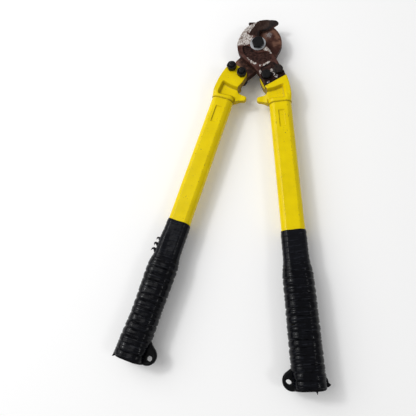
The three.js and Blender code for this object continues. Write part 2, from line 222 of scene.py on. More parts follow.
def inside(points, loop):
    x, y = points.T
    odd = np.zeros(len(points), bool)
    for (ax, ay), (bx, by) in zip(loop, np.roll(loop, -1, axis=0)):
        if ay == by:
            continue
        crosses = ((ay > y) != (by > y)) & (x < (bx - ax) * (y - ay) / (by - ay) + ax)
        odd ^= crosses
    return odd


def depth_in(points, loop):
    """Distance to a closed loop, positive inside it."""
    loop = np.asarray(loop, float)
    return np.where(inside(points, loop), 1, -1) * distance_to(points, loop)


def moved_in(loop, distance):
    """The loop moved inwards; it runs counter-clockwise."""
    into = loop - np.roll(loop, 1, axis=0)
    out = np.roll(loop, -1, axis=0) - loop
    along = into / np.linalg.norm(into, axis=1)[:, None] + out / np.linalg.norm(out, axis=1)[:, None]
    normal = np.stack([-along[:, 1], along[:, 0]], 1)
    normal /= np.maximum(np.linalg.norm(normal, axis=1), 1e-9)[:, None]
    moved = loop + normal * distance
    return moved[distance_to(moved, loop) > abs(distance) * 0.9]


# ---------- pieces ----------


# Keeps the two arms' noise patterns apart.
PATTERN_SHIFT = {"right": (0, 0, 0), "left": (0, 0, 90)}


def make_object(name, row_points, faces):
    mesh = bpy.data.meshes.new(name)
    mesh.from_pydata(np.asarray(row_points).tolist(), [], faces)
    mesh.update()
    piece = bpy.data.objects.new(name, mesh)
    bpy.context.scene.collection.objects.link(piece)
    return piece


def new_piece(name, side, points, faces):
    """A piece from points in an arm's frame; one that stands for a CAD node is named NODE_shape."""
    return make_object(name, to_row(points, side), faces)


def vertex_places(piece, side):
    """The vertices' places in the arm's frame."""
    row = np.zeros(len(piece.data.vertices) * 3)
    piece.data.vertices.foreach_get("co", row)
    return to_arm(row.reshape(-1, 3), side)


def finish_piece(piece, side, slot, sharp, **masks):
    """Smooth shading, the masks and places that the materials read, the material of the piece's slot, and
    its body.
    """
    mesh = piece.data
    mesh.polygons.foreach_set("use_smooth", [True] * len(mesh.polygons))
    mesh.set_sharp_from_angle(angle=math.radians(sharp))
    mesh.materials.clear()
    mesh.materials.append(LOOKS[slot])
    for name, values in masks.items():
        layer = mesh.attributes.new(name, "FLOAT", "POINT")
        layer.data.foreach_set("value", np.asarray(values, np.float32))
    place = vertex_places(piece, side) + PATTERN_SHIFT[side]
    layer = mesh.attributes.new("place", "FLOAT_VECTOR", "POINT")
    layer.data.foreach_set("vector", place.astype(np.float32).ravel())
    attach(piece, f"{side}_arm")
    stands_for = [piece.name.removesuffix("_shape")] if piece.name.endswith("_shape") else []
    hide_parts(*stands_for)


def loft(rings, around=False):
    """Faces through rings of equal count; 'around' joins the last ring to the first."""
    count = len(rings[0])
    faces = []
    for r in range(len(rings) if around else len(rings) - 1):
        base, above = r * count, (r + 1) % len(rings) * count
        for i in range(count):
            j = (i + 1) % count
            faces.append((base + i, base + j, above + j, above + i))
    if not around:
        top = (len(rings) - 1) * count
        faces += [tuple(reversed(range(count))), tuple(range(top, top + count))]
    return np.vstack(rings), faces


# ---------- relief solids: blades, cast heads, ears ----------


def plane_mesh(outline, holes, chains, step):
    """Triangles filling the outline; the chains, which are open paths, become edges of them."""
    coords, edges = [], []
    for index, path in enumerate([outline, *holes, *chains]):
        first, count = len(coords), len(path)
        coords.extend(path)
        is_loop = index <= len(holes)
        edges.extend((first + i, first + (i + 1) % count) for i in range(count if is_loop else count - 1))
    fixed = np.array(coords)
    low, high = outline.min(0), outline.max(0)
    xs = np.arange(low[0], high[0], step)
    ys = np.arange(low[1], high[1], step * 0.87)
    grid = np.array([(x + (j % 2) * step / 2, y) for j, y in enumerate(ys) for x in xs])
    grid = grid[depth_in(grid, outline) > step * 0.5]
    clearance = np.array([np.hypot(*(fixed - g).T).min() for g in grid])
    coords.extend(grid[clearance > step * 0.55])
    flat, _, tris, *_ = geometry.delaunay_2d_cdt([Vector(c) for c in coords], edges, [], 0, 1e-5)
    flat = np.array([tuple(v) for v in flat])
    tris = np.array(tris)
    middle = flat[tris].mean(1)
    keep = inside(middle, outline)
    for hole in holes:
        keep &= ~inside(middle, hole)
    used, tris = np.unique(tris[keep], return_inverse=True)
    return flat[used], tris.reshape(-1, 3)


def relief(outline, holes, chains, top, bottom, wall_steps, step=0.95):
    """Closed solid between the heights top(points) and bottom(points) over the outline."""
    flat, tris = plane_mesh(outline, holes, chains, step)
    high, low = top(flat), bottom(flat)
    count = len(flat)
    faces = [tuple(t) for t in tris.tolist()]
    directed = {(a, b) for t in faces for a, b in zip(t, t[1:] + t[:1])}
    faces += [(a + count, c + count, b + count) for a, b, c in faces]
    rim = sorted((a, b) for a, b in directed if (b, a) not in directed)
    columns, walls = {}, []
    for v in sorted({v for edge in rim for v in edge}):
        first = 2 * count + len(walls)
        walls += [(*flat[v], high[v] + (low[v] - high[v]) * k / wall_steps) for k in range(1, wall_steps)]
        columns[v] = [v, *range(first, first + wall_steps - 1), v + count]
    for a, b in rim:
        for k in range(wall_steps):
            faces.append((columns[a][k + 1], columns[b][k + 1], columns[b][k], columns[a][k]))
    return np.vstack([np.column_stack([flat, high]), np.column_stack([flat, low]), walls]), faces


def clipped(chains, outline):
    """The chains' points inside the outline, kept in order."""
    parts = [path[depth_in(path, outline) > 0.02] for path in chains]
    return [path for path in parts if len(path) > 1]


def split_chains(chains, gap=2.0):
    """Cuts a chain wherever clipping left a jump in it."""
    out = []
    for path in chains:
        jumps = np.flatnonzero(np.linalg.norm(np.diff(path, axis=0), axis=1) > gap) + 1
        out += [part for part in np.split(path, jumps) if len(part) > 1]
    return out


# ---------- blades ----------

CROWNS = {
    "right": {
        "neck": [(3.3, 17.6), (3.9, 22.8), (5.6, 26.2)],
        "edge": [(5.6, 26.2), (10.4, 26.2), (20, 28.0)],
        "nose": [(31.8, 33.9), (34.2, 36.4), (32.6, 38.6)],
        "run": [(28.4, 40.7), (18.4, 42.4), (5.6, 40.2), (-7.5, 35.4), (-16.8, 29.8), (-24.4, 20.2)],
        "heel": 152,
        "tail": [(-3.4, -48), (2.2, -62.4), (5, -71.3)],
    },
    "left": {
        "neck": [(4.9, 17.6), (6.2, 23.0), (8.6, 26.6)],
        "edge": [(8.6, 26.6), (13.4, 28.2), (20, 30.8)],
        "nose": [(25.4, 34.8), (27.2, 38.4), (26.8, 40.4)],
        "run": [(19.5, 42.2), (6, 43.4), (-8, 41.2), (-18.3, 36.4), (-28, 26), (-33.2, 12.4)],
        "heel": 186,
        "tail": [(-3.6, -47.2), (0.7, -53), (4.8, -62.4), (8.0, -69.9)],
    },
}

RECESS = spline(
    [(-22.6, -1.2), (-17.5, -1), (-12.4, -3.4), (-8.8, -9.4), (-3.4, -13.8), (4.3, -14.8),
     (11.6, -15), (17.4, -19), (18.6, -25), (15, -30.4), (8, -32.2), (-0.5, -33), (-9.4, -27.8),
     (-18.4, -19), (-23, -9)],
    closed=True,
)[::-1]
SEAT = loop_of(
    [(0.6, -41), (8.4, -36.8), (17.6, -33), (22.4, -36)],
    [(40, -58), (8.2, -73.5)],
    [(5.4, -62), (2, -52), (0.6, -41)],
)[::-1]
# The crease where the ground face turns over into the darker edge land.
LAND_CREASE = [(22.5, 48.0), (20.9, 40.4), (19.3, 33.5), (13.0, 29.4), (4.6, 25.6), (1.0, 24.0)]
LAND = np.array([*LAND_CREASE, (1.0, 10.0), (60.0, 10.0), (60.0, 48.0)])[::-1]
LAND_CREASE = np.array(LAND_CREASE)
BEVEL_STEP = ((-11.6, 19.2), (0.5, 13.7))


def blade_outline(side):
    crown = CROWNS[side]
    nose, heel, tail = crown["nose"], crown["heel"], crown["tail"]
    return loop_of(
        [tail[-1], (36.4, -56.9)],
        [(36.4, -56.9), (32.9, -47), (27.8, -36.5), (25.2, -28.8)],
        [(25.2, -28.8), (20.9, -21.1), (17, -13.6), arc_point(EYE_R, -12)],
        arc((0, 0), EYE_R, -12, 78),
        [arc_point(EYE_R, 78), *crown["neck"]],
        cutting_edge(side),
        nose,
        [nose[-1], *crown["run"], arc_point(HEEL_R, heel)],
        arc((0, 0), HEEL_R, heel, 205),
        [arc_point(HEEL_R, 205), (-20.4, -24.2), (-10.2, -36.4), *tail],
    )


def bevel_bow(along):
    """The ground face's upper line bows back this far, at a distance along it."""
    return 2.7 * np.clip(1 - ((along + 12) / 17) ** 2, 0, None)


def bevel_fall(points):
    """Distance down the ground face from the blade's outer face."""
    along = (points - BEVEL_POINT) @ np.array(BEVEL_RUN)
    return (points - BEVEL_POINT) @ np.array(BEVEL_FALL) + bevel_bow(along)


def on_bevel(points):
    """True beyond the ground face's upper line and above its lower limit."""
    (ax, ay), (bx, by) = BEVEL_STEP
    limit = ay + (points[:, 0] - ax) * (by - ay) / (bx - ax)
    return (bevel_fall(points) > 0) & (points[:, 1] > np.where(points[:, 0] > bx, by, limit))


def seat_depth(points):
    depth = depth_in(points, SEAT)
    for centre in BOLTS.values():
        depth = np.maximum(depth, BOLT_SPOT_R - np.hypot(*(points - centre).T))
    return depth


def blade_bottom(points, outline):
    return BLADE_LOW + rim_fall(depth_in(points, outline), 0.5)


def cutting_edge(side):
    return spline([*CROWNS[side]["edge"], CROWNS[side]["nose"][0]])


def blade_top(points, outline, side):
    edge = depth_in(points, outline)
    lumps = with_height(points, 0)
    face = BLADE_T - rim_fall(edge, 1.0) + 0.05 * field(lumps, 5, 3)
    rough = 0.22 * field(lumps, 2.6, 5) + 0.12 * field(lumps, 1.3, 6)
    face = face - ramp(depth_in(points, RECESS), 0, 0.7) * (RECESS_DEPTH + rough)
    face = face - ramp(seat_depth(points), 0, 0.7) * (SEAT_DEPTH + 0.5 * rough)
    ground = BLADE_T - BEVEL_SLOPE * bevel_fall(points) - rim_fall(edge, 0.3)
    over = depth_in(points, LAND)
    steep = np.interp(points[:, 0], (12, 17, 20, 24, 28, 32), (4.0, 1.3, 0.55, 0.50, 0.68, 1.0))
    land = 0.45 + steep * distance_to(points, cutting_edge(side), closed=False) - rim_fall(edge, 0.5)
    land_here = ground + (land - ground) * ramp(over, 0, 2.5)
    near_notch = np.where(over > 0, np.minimum(ground, land), ground)
    ground = near_notch + (np.where(over > 0, land_here, ground) - near_notch) * ramp(points[:, 0], 17, 22)
    low = blade_bottom(points, outline) + 0.15
    return np.maximum(np.where(on_bevel(points), ground, face), low)


def with_height(points, z):
    return np.column_stack([points, np.full(len(points), float(z))])


def soft_mask(points, polygons, feather):
    mask = np.zeros(len(points))
    for polygon in polygons:
        mask = np.maximum(mask, ramp(depth_in(points, polygon), -feather, feather))
    return mask


# Where hands and cable have rubbed the front blade bright, and the rear one's inner face.
WORN = [
    [(2, 37.5), (-12, 19.5), (-6.5, 14.5), (-8, 8), (-9, 1), (-22, 0.4), (-30.5, 2.4), (-31.5, 9), (-26, 19),
     (-18, 28.5), (-8, 35.5)],
    [(6, -10.5), (12.2, -6), (15.5, -11), (19.4, -18.4), (17.6, -20), (15, -15.6), (11, -13.4)],
    [(-18, -21.5), (-10, -28.4), (-4.6, -32.4), (-6.4, -35.2), (-12.5, -30.8)],
    [(-1.6, -36.4), (0.2, -34.8), (1.6, -36.4), (0, -38)],
    [(3.2, -36.6), (6, -34.8), (7.6, -36), (5, -38.4)],
    [(8.6, -34.6), (14, -31.4), (15.2, -33), (10, -36.2)],
    [(-2.2, -46.5), (0.4, -43.4), (1.6, -46), (1.4, -50), (-0.2, -51)],
    [(14.5, -45), (16.8, -42.5), (18.4, -49), (22, -54), (25.5, -56), (23, -58.6), (18.5, -56), (15.6, -51)],
    [(8.6, -64), (12.4, -63.6), (11.6, -65.6), (8.8, -66)],
]
INNER_WORN = [
    [(-5, 23.5), (-5, 28), (-9, 30), (-13, 27.5), (-13.5, 22.5), (-9, 20.5)],
]
# Where the rear blade's inner face is browned lighter, and where it is darker: darker rust, and a painted
# shadow in a band along the front blade's bevel.
BROWNED = [
    [(30, -20), (31, -32), (22, -40), (14, -40), (17, -32), (22, -24)],
    [(-9.3, 36.2), (-16.3, 34.2), (-28.3, 24), (-22.8, 23), (-14.3, 30.1), (-8.4, 31.4)],
    [(-18.5, 14), (-29, 19.5), (-29, 15.5), (-18.5, 10.5)],
]
DARK_RUST_AND_SHADOW = [
    [(-13.2, 20.8), (-16.1, 24.2), (-21.3, 22.7), (-26.8, 17.6), (-23.4, 15.9), (-16.7, 17.1)],
    [(-21.5, 6.4), (-29.3, 11.9), (-33.4, 3.7), (-31.5, -5.7), (-24.5, -3.7)],
    [(-6, 21.5), (-12, 19.5), (-22.5, 7.5), (-33, -9), (-30.5, -12), (-20.5, -2), (-12.5, 8)],
]
# Painted shade in the throat beside the washer.
THROAT = [[(-2.5, 12.2), (4, 11.8), (5.4, 22), (5, 27), (1.2, 24), (-0.6, 17)]]


def front_shade_and_smear(flat):
    """Where the rear blade's inner face is darkened beside the front blade's outline: a painted contact
    shadow close to it, and grease, widest down its tail; also darker at its tip.
    """
    front = to_arm(to_row(with_height(blade_outline("right"), 0), "right"), "left")[:, :2]
    tail = ramp(-flat[:, 1], 14, 24)
    shade_and_smear = ramp(distance_to(flat, front), 3.2 + 5.6 * tail, 1.0 + 3.8 * tail)
    tip = ramp(flat[:, 0], 15, 20) * ramp(flat[:, 1], 30, 35)
    return np.maximum(0.85 * shade_and_smear, tip)


def blade_masks(places, side):
    """The masks that blade_steel() reads, at places in the arm's frame."""
    flat, z = places[:, :2], places[:, 2]
    x, y = flat.T
    outer = (z > 1.2) * 1.0
    inner = (z < 0.6) * 1.0
    wall = (depth_in(flat, blade_outline(side)) < 0.05) & (z < BLADE_T - 1.2)
    ground = on_bevel(flat) * outer * ~wall
    over_land = depth_in(flat, LAND)
    into_recess = depth_in(flat, RECESS)
    recess = ramp(into_recess, 0.1, 0.8)
    seat = ramp(seat_depth(flat), 0.1, 0.8)
    worn = soft_mask(flat, WORN if side == "right" else [], 1.5) * outer * ~wall
    # Painted shade: along the gap at the cast head's shoulder, under the seat's upper wall, inside the
    # recess's upper wall and around the bolt heads.
    painted_shade_lines = [
        near(distance_to(flat, np.array(SHOULDER), closed=False), 0, 1.5, 5.5),
        1.1 * near(depth_in(flat, SEAT), 0.7, 0.8, 1.6) * ramp(-y, 30, 36) * (x < 26) * outer,
        0.95 * near(into_recess, 0.6, 0.8, 1.7) * ramp(y - 0.4 * x, -14, -6) * outer,
        *(0.8 * near(np.hypot(*(flat - centre).T), 0, 7.5, 11) for centre in BOLTS.values()),
    ]
    # Mostly painted shade; on the rear blade's inner face painted shadow and grease beside the front blade.
    if side == "right":
        shade_and_grime = np.maximum.reduce([*painted_shade_lines, soft_mask(flat, THROAT, 1.0)])
    else:
        shade_and_grime = np.maximum(np.maximum.reduce(painted_shade_lines) * (1 - inner), front_shade_and_smear(flat) * inner)
    return {
        "worn": worn * (1 - 0.85 * np.maximum(recess, 0.4 * seat)) * (1 - ground),
        "ground": ground,
        "land": ground * ramp(over_land, -0.2, 0.5),
        "crease": ground * near(over_land, -1.6, 0.6, 4.2) * ramp(y, 26, 34),
        "pit": np.maximum(recess, seat) * outer,
        "inner": inner,
        "browned": inner * soft_mask(flat, BROWNED, 3),
        "dark_rust_and_shadow": inner * soft_mask(flat, DARK_RUST_AND_SHADOW, 2.5),
        "inner_worn": inner * soft_mask(flat, INNER_WORN, 3),
        # The blade's side walls take painted shade as well.
        "shade_and_grime": np.maximum(shade_and_grime, 0.55 * wall),
    }


def build_blade(side):
    outline = blade_outline(side)
    chains = [moved_in(outline, d) for d in (0.08, 0.3, 0.65, 1.05)]
    chains += [moved_in(loop, d) for loop in (RECESS, SEAT) for d in (0.05, 0.25, 0.5, 0.75)]
    step_line = divided(np.array([*BEVEL_STEP, (12.0, BEVEL_STEP[1][1])]), 0.7)
    chains += [step_line, step_line + (0, 0.06)]
    along = np.arange(-22.5, 6, 0.7)
    chains.append(BEVEL_POINT + along[:, None] * BEVEL_RUN - bevel_bow(along)[:, None] * BEVEL_FALL)
    chains.append(LAND_CREASE)
    holes = [circle((0, 0), BUSH_HOLE_R), *(circle(c, BOLT_HOLE_R) for c in BOLTS.values())]
    points, faces = relief(
        outline, holes, clipped(chains, outline),
        lambda p: blade_top(p, outline, side), lambda p: blade_bottom(p, outline), 6,
    )
    points[:, :2] += 0.06 * np.stack([field(points, 6, 11), field(points, 6, 12)], 1)
    piece = new_piece("blade_front_shape" if side == "right" else "blade_rear_shape", side, points, faces)
    masks = blade_masks(vertex_places(piece, side), side)
    finish_piece(piece, side, "blade_steel", 28, **masks)


# ---------- cast handle heads ----------


HEAD_INNER = {
    "right": [(4.4, -47.0), (0.2, -49.4), (-1.9, -54), (-0.8, -61), (2.8, -70.5), (6.3, -76), (6.6, -79)],
    "left": [(4.4, -47.2), (1.5, -50.2), (0.2, -55), (1.0, -61), (4.0, -70.5), (6.5, -76), (6.6, -79)],
}


def head_outline(side):
    inner = HEAD_INNER[side]
    neck, outer = TUBE_X - TUBE_HALF_W + 0.2, TUBE_X + TUBE_HALF_W + 0.6
    return loop_of(
        inner,
        [(6.6, -79), (5.0, -81.6), (1.4, -83.2), (-6.2, -84.2)],
        [(-6.2, -84.2), (-8.4, -85.6), (-8.8, -89.8), (-7.2, -92.2)],
        [(-7.2, -92.4), (0, -94.4), (5.4, -97.2), (neck, COLLAR_Y)],
        [(outer, COLLAR_Y), (41.2, -90), (40.9, -80), (39.6, -68), (36.9, -56.4), (33.4, -46.4)],
        [(33.4, -46.4), (30, -41.8), (24.6, -41.3), (19.8, -41.9), inner[0]],
    )


POCKET = spline(
    [(-16, -78.5), (-4, -77.5), (6.4, -76.4), (17.2, -75), (26, -72.4), (30.4, -71.4), (32.4, -74),
     (33.3, -82), (33.8, -89), (32.6, -92.6), (28, -93.4), (16.4, -93), (11.6, -93.6), (9, -96),
     (8, -102), (-16, -102)],
    closed=True,
)[::-1]
POCKET_SLOPE = 3.4


SHOULDER_ALONG = np.subtract(SHOULDER[1], SHOULDER[0]) / math.dist(*SHOULDER)
SHOULDER_NORMAL = np.array([SHOULDER_ALONG[1], -SHOULDER_ALONG[0]])


def shoulder_side(points):
    """Distance past the shoulder line, positive on the handle's side."""
    return (points - SHOULDER[0]) @ SHOULDER_NORMAL


def head_half(points, edge):
    """Half thickness of the cast head."""
    x, y = points.T
    floor = POCKET_FLOOR + (LUG_HALF - POCKET_FLOOR) * ramp(x, 9, -1)
    half = HEAD_HALF - (HEAD_HALF - floor) * ramp(depth_in(points, POCKET), -0.4, POCKET_SLOPE)
    beside = np.clip((np.abs(x - TUBE_X) - TUBE_FLAT) / (TUBE_HALF_W + 1.6 - TUBE_FLAT), 0, 0.98)
    oval = HEAD_HALF * np.sqrt(1 - beside**2)
    near_collar = ramp(y, COLLAR_Y + 12, COLLAR_Y + 1)
    half = np.where(x > 6.5, np.minimum(half, half + (oval - half) * near_collar), half)
    half = half + 0.07 * field(with_height(points, 0), 7, 21)
    half = half - rim_fall(np.clip(y - COLLAR_Y, 0, None), 1.8) * (x > 8)
    return half - rim_fall(edge, HEAD_ROUND) * (y > COLLAR_Y + 0.3)


def head_top(points, outline):
    edge = depth_in(points, outline)
    past = shoulder_side(points)
    lip = head_half(points, edge) - rim_fall(np.clip(past, 0, None), 0.6)
    seat = -BLADE_LOW - rim_fall(edge, 0.4)
    return np.where(past > 0, lip, seat)


def head_bottom(points, outline):
    return -head_half(points, depth_in(points, outline))


def head_masks(places, side):
    """The masks that yellow_paint() reads, at places in the arm's frame."""
    flat, z = places[:, :2], places[:, 2]
    x, y = flat.T
    pocket = depth_in(flat, POCKET)
    edge = depth_in(flat, head_outline(side))
    collar = near(y, COLLAR_Y, 0.2, 1.6) * (x > 7)
    # Darker at the foot of the pocket's slope.
    foot = near(pocket, POCKET_SLOPE - 0.6, 0.2, 1.4) * (np.abs(z) > 4.0)
    # Painted shadow along the gap where the blade meets the shoulder.
    blade_gap_shadow = near(shoulder_side(flat), 0, 0.1, 1.2) * (z > -2)
    # Painted shade on the inner side wall and the pocket's slopes, which face away from the light; on the
    # right arm only the pocket's upper slope.
    wall = (edge < 0.4) * ramp(x, 12, 6) * ramp(-y, 46, 50) * (1 - 0.5 * ramp(-y, 78, 84))
    in_slope = 0.45 * ramp(pocket, 0, 0.6) * ramp(pocket, POCKET_SLOPE + 0.2, POCKET_SLOPE - 0.6)
    if side == "right":
        in_slope = in_slope * ramp(y, -86, -79) * ramp(x, 30, 26)
    return {
        "dirt": np.maximum.reduce([0.6 * collar, 0.55 * foot, 0.7 * blade_gap_shadow]),
        "wall": np.maximum(wall, in_slope),
        "edge": near(edge, 0.9, 0.1, 1.2),
    }


def build_head(side):
    outline = head_outline(side)
    chains = [moved_in(outline, d) for d in (0.06, 0.3, 0.75, 1.4, 2.2, 3.1)]
    chains += [moved_in(POCKET, d) for d in (-0.3, 0.6, 1.6, 2.6, 3.4)]
    shoulder = np.arange(-8, 44, 0.8)[:, None] * SHOULDER_ALONG + SHOULDER[0]
    chains += [shoulder + SHOULDER_NORMAL * d for d in (-0.02, 0.02, 0.2, 0.6)]
    holes = [circle(c, BOLT_HOLE_R) for c in BOLTS.values()]
    points, faces = relief(
        outline, holes, split_chains(clipped(chains, outline)),
        lambda p: head_top(p, outline), lambda p: head_bottom(p, outline), 8,
    )
    piece = new_piece(f"handle_head_{side}_shape", side, points, faces)
    masks = head_masks(vertex_places(piece, side), side)
    finish_piece(piece, side, "yellow_casting", 40, **masks)


# ---------- oval sections ----------

AROUND = 168
ANGLES = np.linspace(0, 2 * math.pi, AROUND, endpoint=False)


def polar(profile):
    """Radius at each of ANGLES of a section given by its first quarter, from top to side."""
    x, z = np.asarray(profile, float).T
    angle = np.arctan2(z, x)
    radius = np.hypot(x, z)
    order = np.argsort(angle)
    folded = np.abs((ANGLES + math.pi / 2) % math.pi - math.pi / 2)
    return np.interp(folded, angle[order], radius[order])


def creased_section(grow=0.0):
    """The pressed tube: a flat face, a soft crease, then a full round side."""
    t = np.linspace(0, 1, 24)[:, None]
    start = np.array([TUBE_FLAT + 0.5, TUBE_HALF_D - 0.1])
    lean = start + np.array([4.5, -2.5])
    bow = np.array([TUBE_HALF_W, 5.6])
    end = np.array([TUBE_HALF_W, 0.0])
    side = (1 - t) ** 3 * start + 3 * (1 - t) ** 2 * t * lean + 3 * (1 - t) * t**2 * bow + t**3 * end
    top = [(x, TUBE_HALF_D) for x in np.linspace(0, TUBE_FLAT, 12)]
    profile = np.vstack([top, side])
    into = np.gradient(profile, axis=0)
    normal = np.stack([-into[:, 1], into[:, 0]], 1)
    normal /= np.linalg.norm(normal, axis=1)[:, None]
    return polar(profile + normal * grow)


def oval_section(half_w, half_d):
    """The grip: flat to GRIP_FLAT from the middle, then a round side."""
    t = np.radians(np.linspace(0, 90, 40))
    side = np.stack([GRIP_FLAT + (half_w - GRIP_FLAT) * np.sin(t), half_d * np.cos(t)], 1)
    top = [(x, half_d) for x in np.linspace(0, GRIP_FLAT, 12, endpoint=False)]
    return polar(np.vstack([top, side]))


def ring(y, radius, centre=TUBE_X):
    """Ring of points around the handle's axis; the order makes lofts towards -Y face out."""
    x = centre + radius * np.cos(ANGLES)
    z = radius * np.sin(ANGLES)
    return np.stack([x, np.broadcast_to(y, x.shape), z], 1)


# ---------- handle tubes ----------


def stake_inset(points):
    """Distance in from the outline of the pressed mark."""
    x, y, _ = points.T
    return np.minimum.reduce([x - STAKE_X[0], STAKE_X[1] - x, y - STAKE_Y[0], STAKE_Y[1] - y])


def stake_press(points):
    """How deep the pressed mark is at a point of the tube's front or back face."""
    return STAKE_DEPTH * ramp(stake_inset(points), 0, 0.8) * (np.abs(points[:, 2]) > TUBE_HALF_D - 1.5)


def build_tube(side):
    top = COLLAR_Y - GAP
    section = creased_section()
    mouth = [top - 0.4, top - 1.0, top - 2.5, top - 6]
    fine = np.arange(STAKE_Y[1] + 2, STAKE_Y[0] - 2, -0.55)
    rings = [ring(top, section - 0.7)]
    for y in np.concatenate([mouth, fine, np.arange(STAKE_Y[0] - 4, TUBE_END_Y, -3.4)]):
        points = ring(y, section)
        points[:, 2] -= np.sign(points[:, 2]) * stake_press(points)
        points += 0.05 * field(points, 14, 31)[:, None] * (1, 0, 1)
        rings.append(points)
    bore = section - TUBE_WALL
    rings += [ring(TUBE_END_Y, section), ring(TUBE_END_Y, bore), ring(top - 2, bore), ring(top, bore)]
    points, faces = loft(rings, around=True)
    piece = new_piece(f"handle_tube_{side}_shape", side, points, faces)
    x, y, z = points.T
    # Painted shade in the pressed mark, darkest along its side turned from the light; dirt in the joint at
    # the collar.
    shaded_side = STAKE_X[0] if side == "right" else STAKE_X[1]
    groove = near(stake_inset(points), 0.3, 0.2, 0.9) * (np.abs(z) > TUBE_HALF_D - 2.4)
    groove = groove * (0.2 + 0.8 * near(x, shaded_side, 0.6, 1.2))
    finish_piece(
        piece, side, "yellow_tube", 50,
        dirt=np.maximum(0.9 * groove, 0.55 * near(y, top, 0.1, 1.4)),
        edge=near(np.abs(x - TUBE_X), TUBE_FLAT + 0.3, 0.2, 1.4),
        wall=np.zeros(len(points)),
    )


# ---------- grips ----------

# Outer size of the tape over the sleeve: y, half width, half depth.
TAPE_STATIONS = {
    "right": [(-322, 17.5, 12.0), (-331, 18.4, 12.9), (-341, 19.5, 14.1), (-352, 20.2, 15.1),
              (-420, 20.6, 15.6), (-460, 20.8, 16.1), (-478, 21.3, 16.7), (-485, 21.1, 16.5)],
    "left": [(-336, 17.6, 12.0), (-344, 19.0, 13.2), (-352, 20.4, 14.6), (-362, 20.9, 15.3),
             (-386, 20.7, 15.6), (-412, 20.0, 15.4), (-436, 20.2, 15.6), (-460, 21.2, 16.2),
             (-478, 21.9, 16.8), (-485, 21.7, 16.6)],
}
AXIS_SHIFT = {"right": (0.3, 0.2), "left": (1.2, 0.8)}
SWELL = {"right": (318, 342), "left": (334, 352)}
RIB_PITCH = 9.5
GRIP_FLAT = 6.0
TAPE_LEAD = 7.7


def grip_axis(side, y):
    """X of the wound grip's middle; the rubber was pushed on a little off the tube's axis."""
    shift, end_shift = AXIS_SHIFT[side]
    return TUBE_X + shift * float(ramp(-y, 338, 362)) + end_shift * float(ramp(-y, 425, 460))


def tape_radius(side, y):
    """Outer radius of the wound grip at each of ANGLES, without its wrinkles."""
    ys, half_ws, half_ds = np.array(TAPE_STATIONS[side])[::-1].T
    on_grip = oval_section(np.interp(y, ys, half_ws), np.interp(y, ys, half_ds))
    on_tube = creased_section(grow=1.0)
    if side == "left":
        on_tube = on_tube + 1.5 * ramp(-y, 300, 325) * ramp(np.cos(ANGLES), 0.2, 1)
    on_tube = on_tube + (on_grip - on_tube) * ramp(-y, *SWELL[side])
    return on_tube - 1.2 * ramp(-y, 462, 478) * ramp(-np.cos(ANGLES), 0.75, 0.98)


def tape_relief(side, y):
    """Ribs of the rubber showing through, lapped edges and wrinkles; and where the laps' lips are."""
    turn = ANGLES / (2 * math.pi)
    seed = 41 if side == "right" else 47
    around = ring(y, 20.0, 0.0)[:, [0, 2, 1]]
    wander = 1.3 * field(around * (1, 1, 0.4), 22, seed)
    rib = ((y + wander) / RIB_PITCH + 0.10 * np.cos(ANGLES + 0.5)) % 1
    bulge = 1 - np.abs(2 * rib - 1) ** 5
    lap = ((y + wander * 0.6) / TAPE_LEAD + turn) % 1
    fine_lap = ((y - wander) / (TAPE_LEAD * 0.47) - turn) % 1
    steps = 0.46 * (1 - lap) * ramp(lap, 0, 0.06) + 0.17 * (1 - fine_lap) * ramp(fine_lap, 0, 0.16)
    stretched = 0.17 * field(around * (0.18, 0.18, 1), 1.9, seed + 1)
    stretched += 0.26 * field(around * (0.4, 0.4, 1), 4.2, seed + 2)
    grown = ramp(-y, SWELL[side][0] + 4, SWELL[side][1] + 4)
    raised = grown * (1.15 * bulge - 0.95) + steps + (0.25 + 0.75 * grown) * stretched - 0.2
    lip = ramp(lap, 0.01, 0.05) * ramp(lap, 0.20, 0.10)
    fine_lip = ramp(fine_lap, 0.05, 0.12) * ramp(fine_lap, 0.36, 0.22)
    return raised, np.maximum(lip, 0.5 * fine_lip)


def build_tape(side):
    top = TAPE_TOP_Y[side]
    slant = 0.9 * np.cos(ANGLES + 0.9) + 0.5 * np.cos(3 * ANGLES + (1.0 if side == "left" else 2.4))
    ragged = 0.9 * field(ring(0.0, 20.0, 0.0)[:, [0, 2, 1]], 6, 53)
    rings, reliefs, lips = [], [], []
    for y in np.concatenate([np.arange(top, -336, -0.9), np.arange(-336, TAPE_END_Y, -0.72)]):
        raised, lip = tape_relief(side, y)
        radius = tape_radius(side, y) + raised - 0.5 * (1 - min(1.0, (top - y) / 3.0))
        points = ring(y, radius, grip_axis(side, y))
        points[:, 1] += slant * near(y, top, 0, 12) + ragged * ramp(-y, 474, -TAPE_END_Y)
        rings.append(points)
        reliefs.append(raised)
        lips.append(lip)
    outer_count = len(rings) * AROUND
    for y in (TAPE_END_Y + 0.6, TAPE_END_Y + 14, -357, -348, -336, top - 4, top - 0.3):
        inner = tape_radius(side, y) - 1.2 - 0.7 * ramp(-y, 338, 356)
        rings.append(ring(y, np.maximum(inner, creased_section(0.1)), grip_axis(side, y)))
    points, faces = loft(rings, around=True)
    hidden = np.zeros(len(points) - outer_count)
    piece = new_piece(f"tape_wrap_{side}_shape", side, points, faces)
    finish_piece(
        piece, side, "grip_tape", 60,
        # Painted shade in the grooves between the ribs.
        groove=np.concatenate([*np.clip(np.array(reliefs) * -1.3, 0, 1), hidden]),
        lip=np.concatenate([*lips, hidden]),
        drawn=ramp(-points[:, 1], *SWELL[side][::-1]),
    )


SLEEVE_STATIONS = [
    (SLEEVE_TOP_Y, 16.9, 11.6), (-350, 17.7, 12.5), (-357, 18.3, 13.3), (-420, 18.6, 13.7),
    (-460, 19.1, 14.2), (-478, 20.0, 15.1), (-482, 20.4, 15.5), (-484.8, 20.6, 15.7),
    (-486.2, 20.2, 15.3), (-486.9, 19.2, 14.3), (SLEEVE_END_Y, 17.6, 12.7),
]


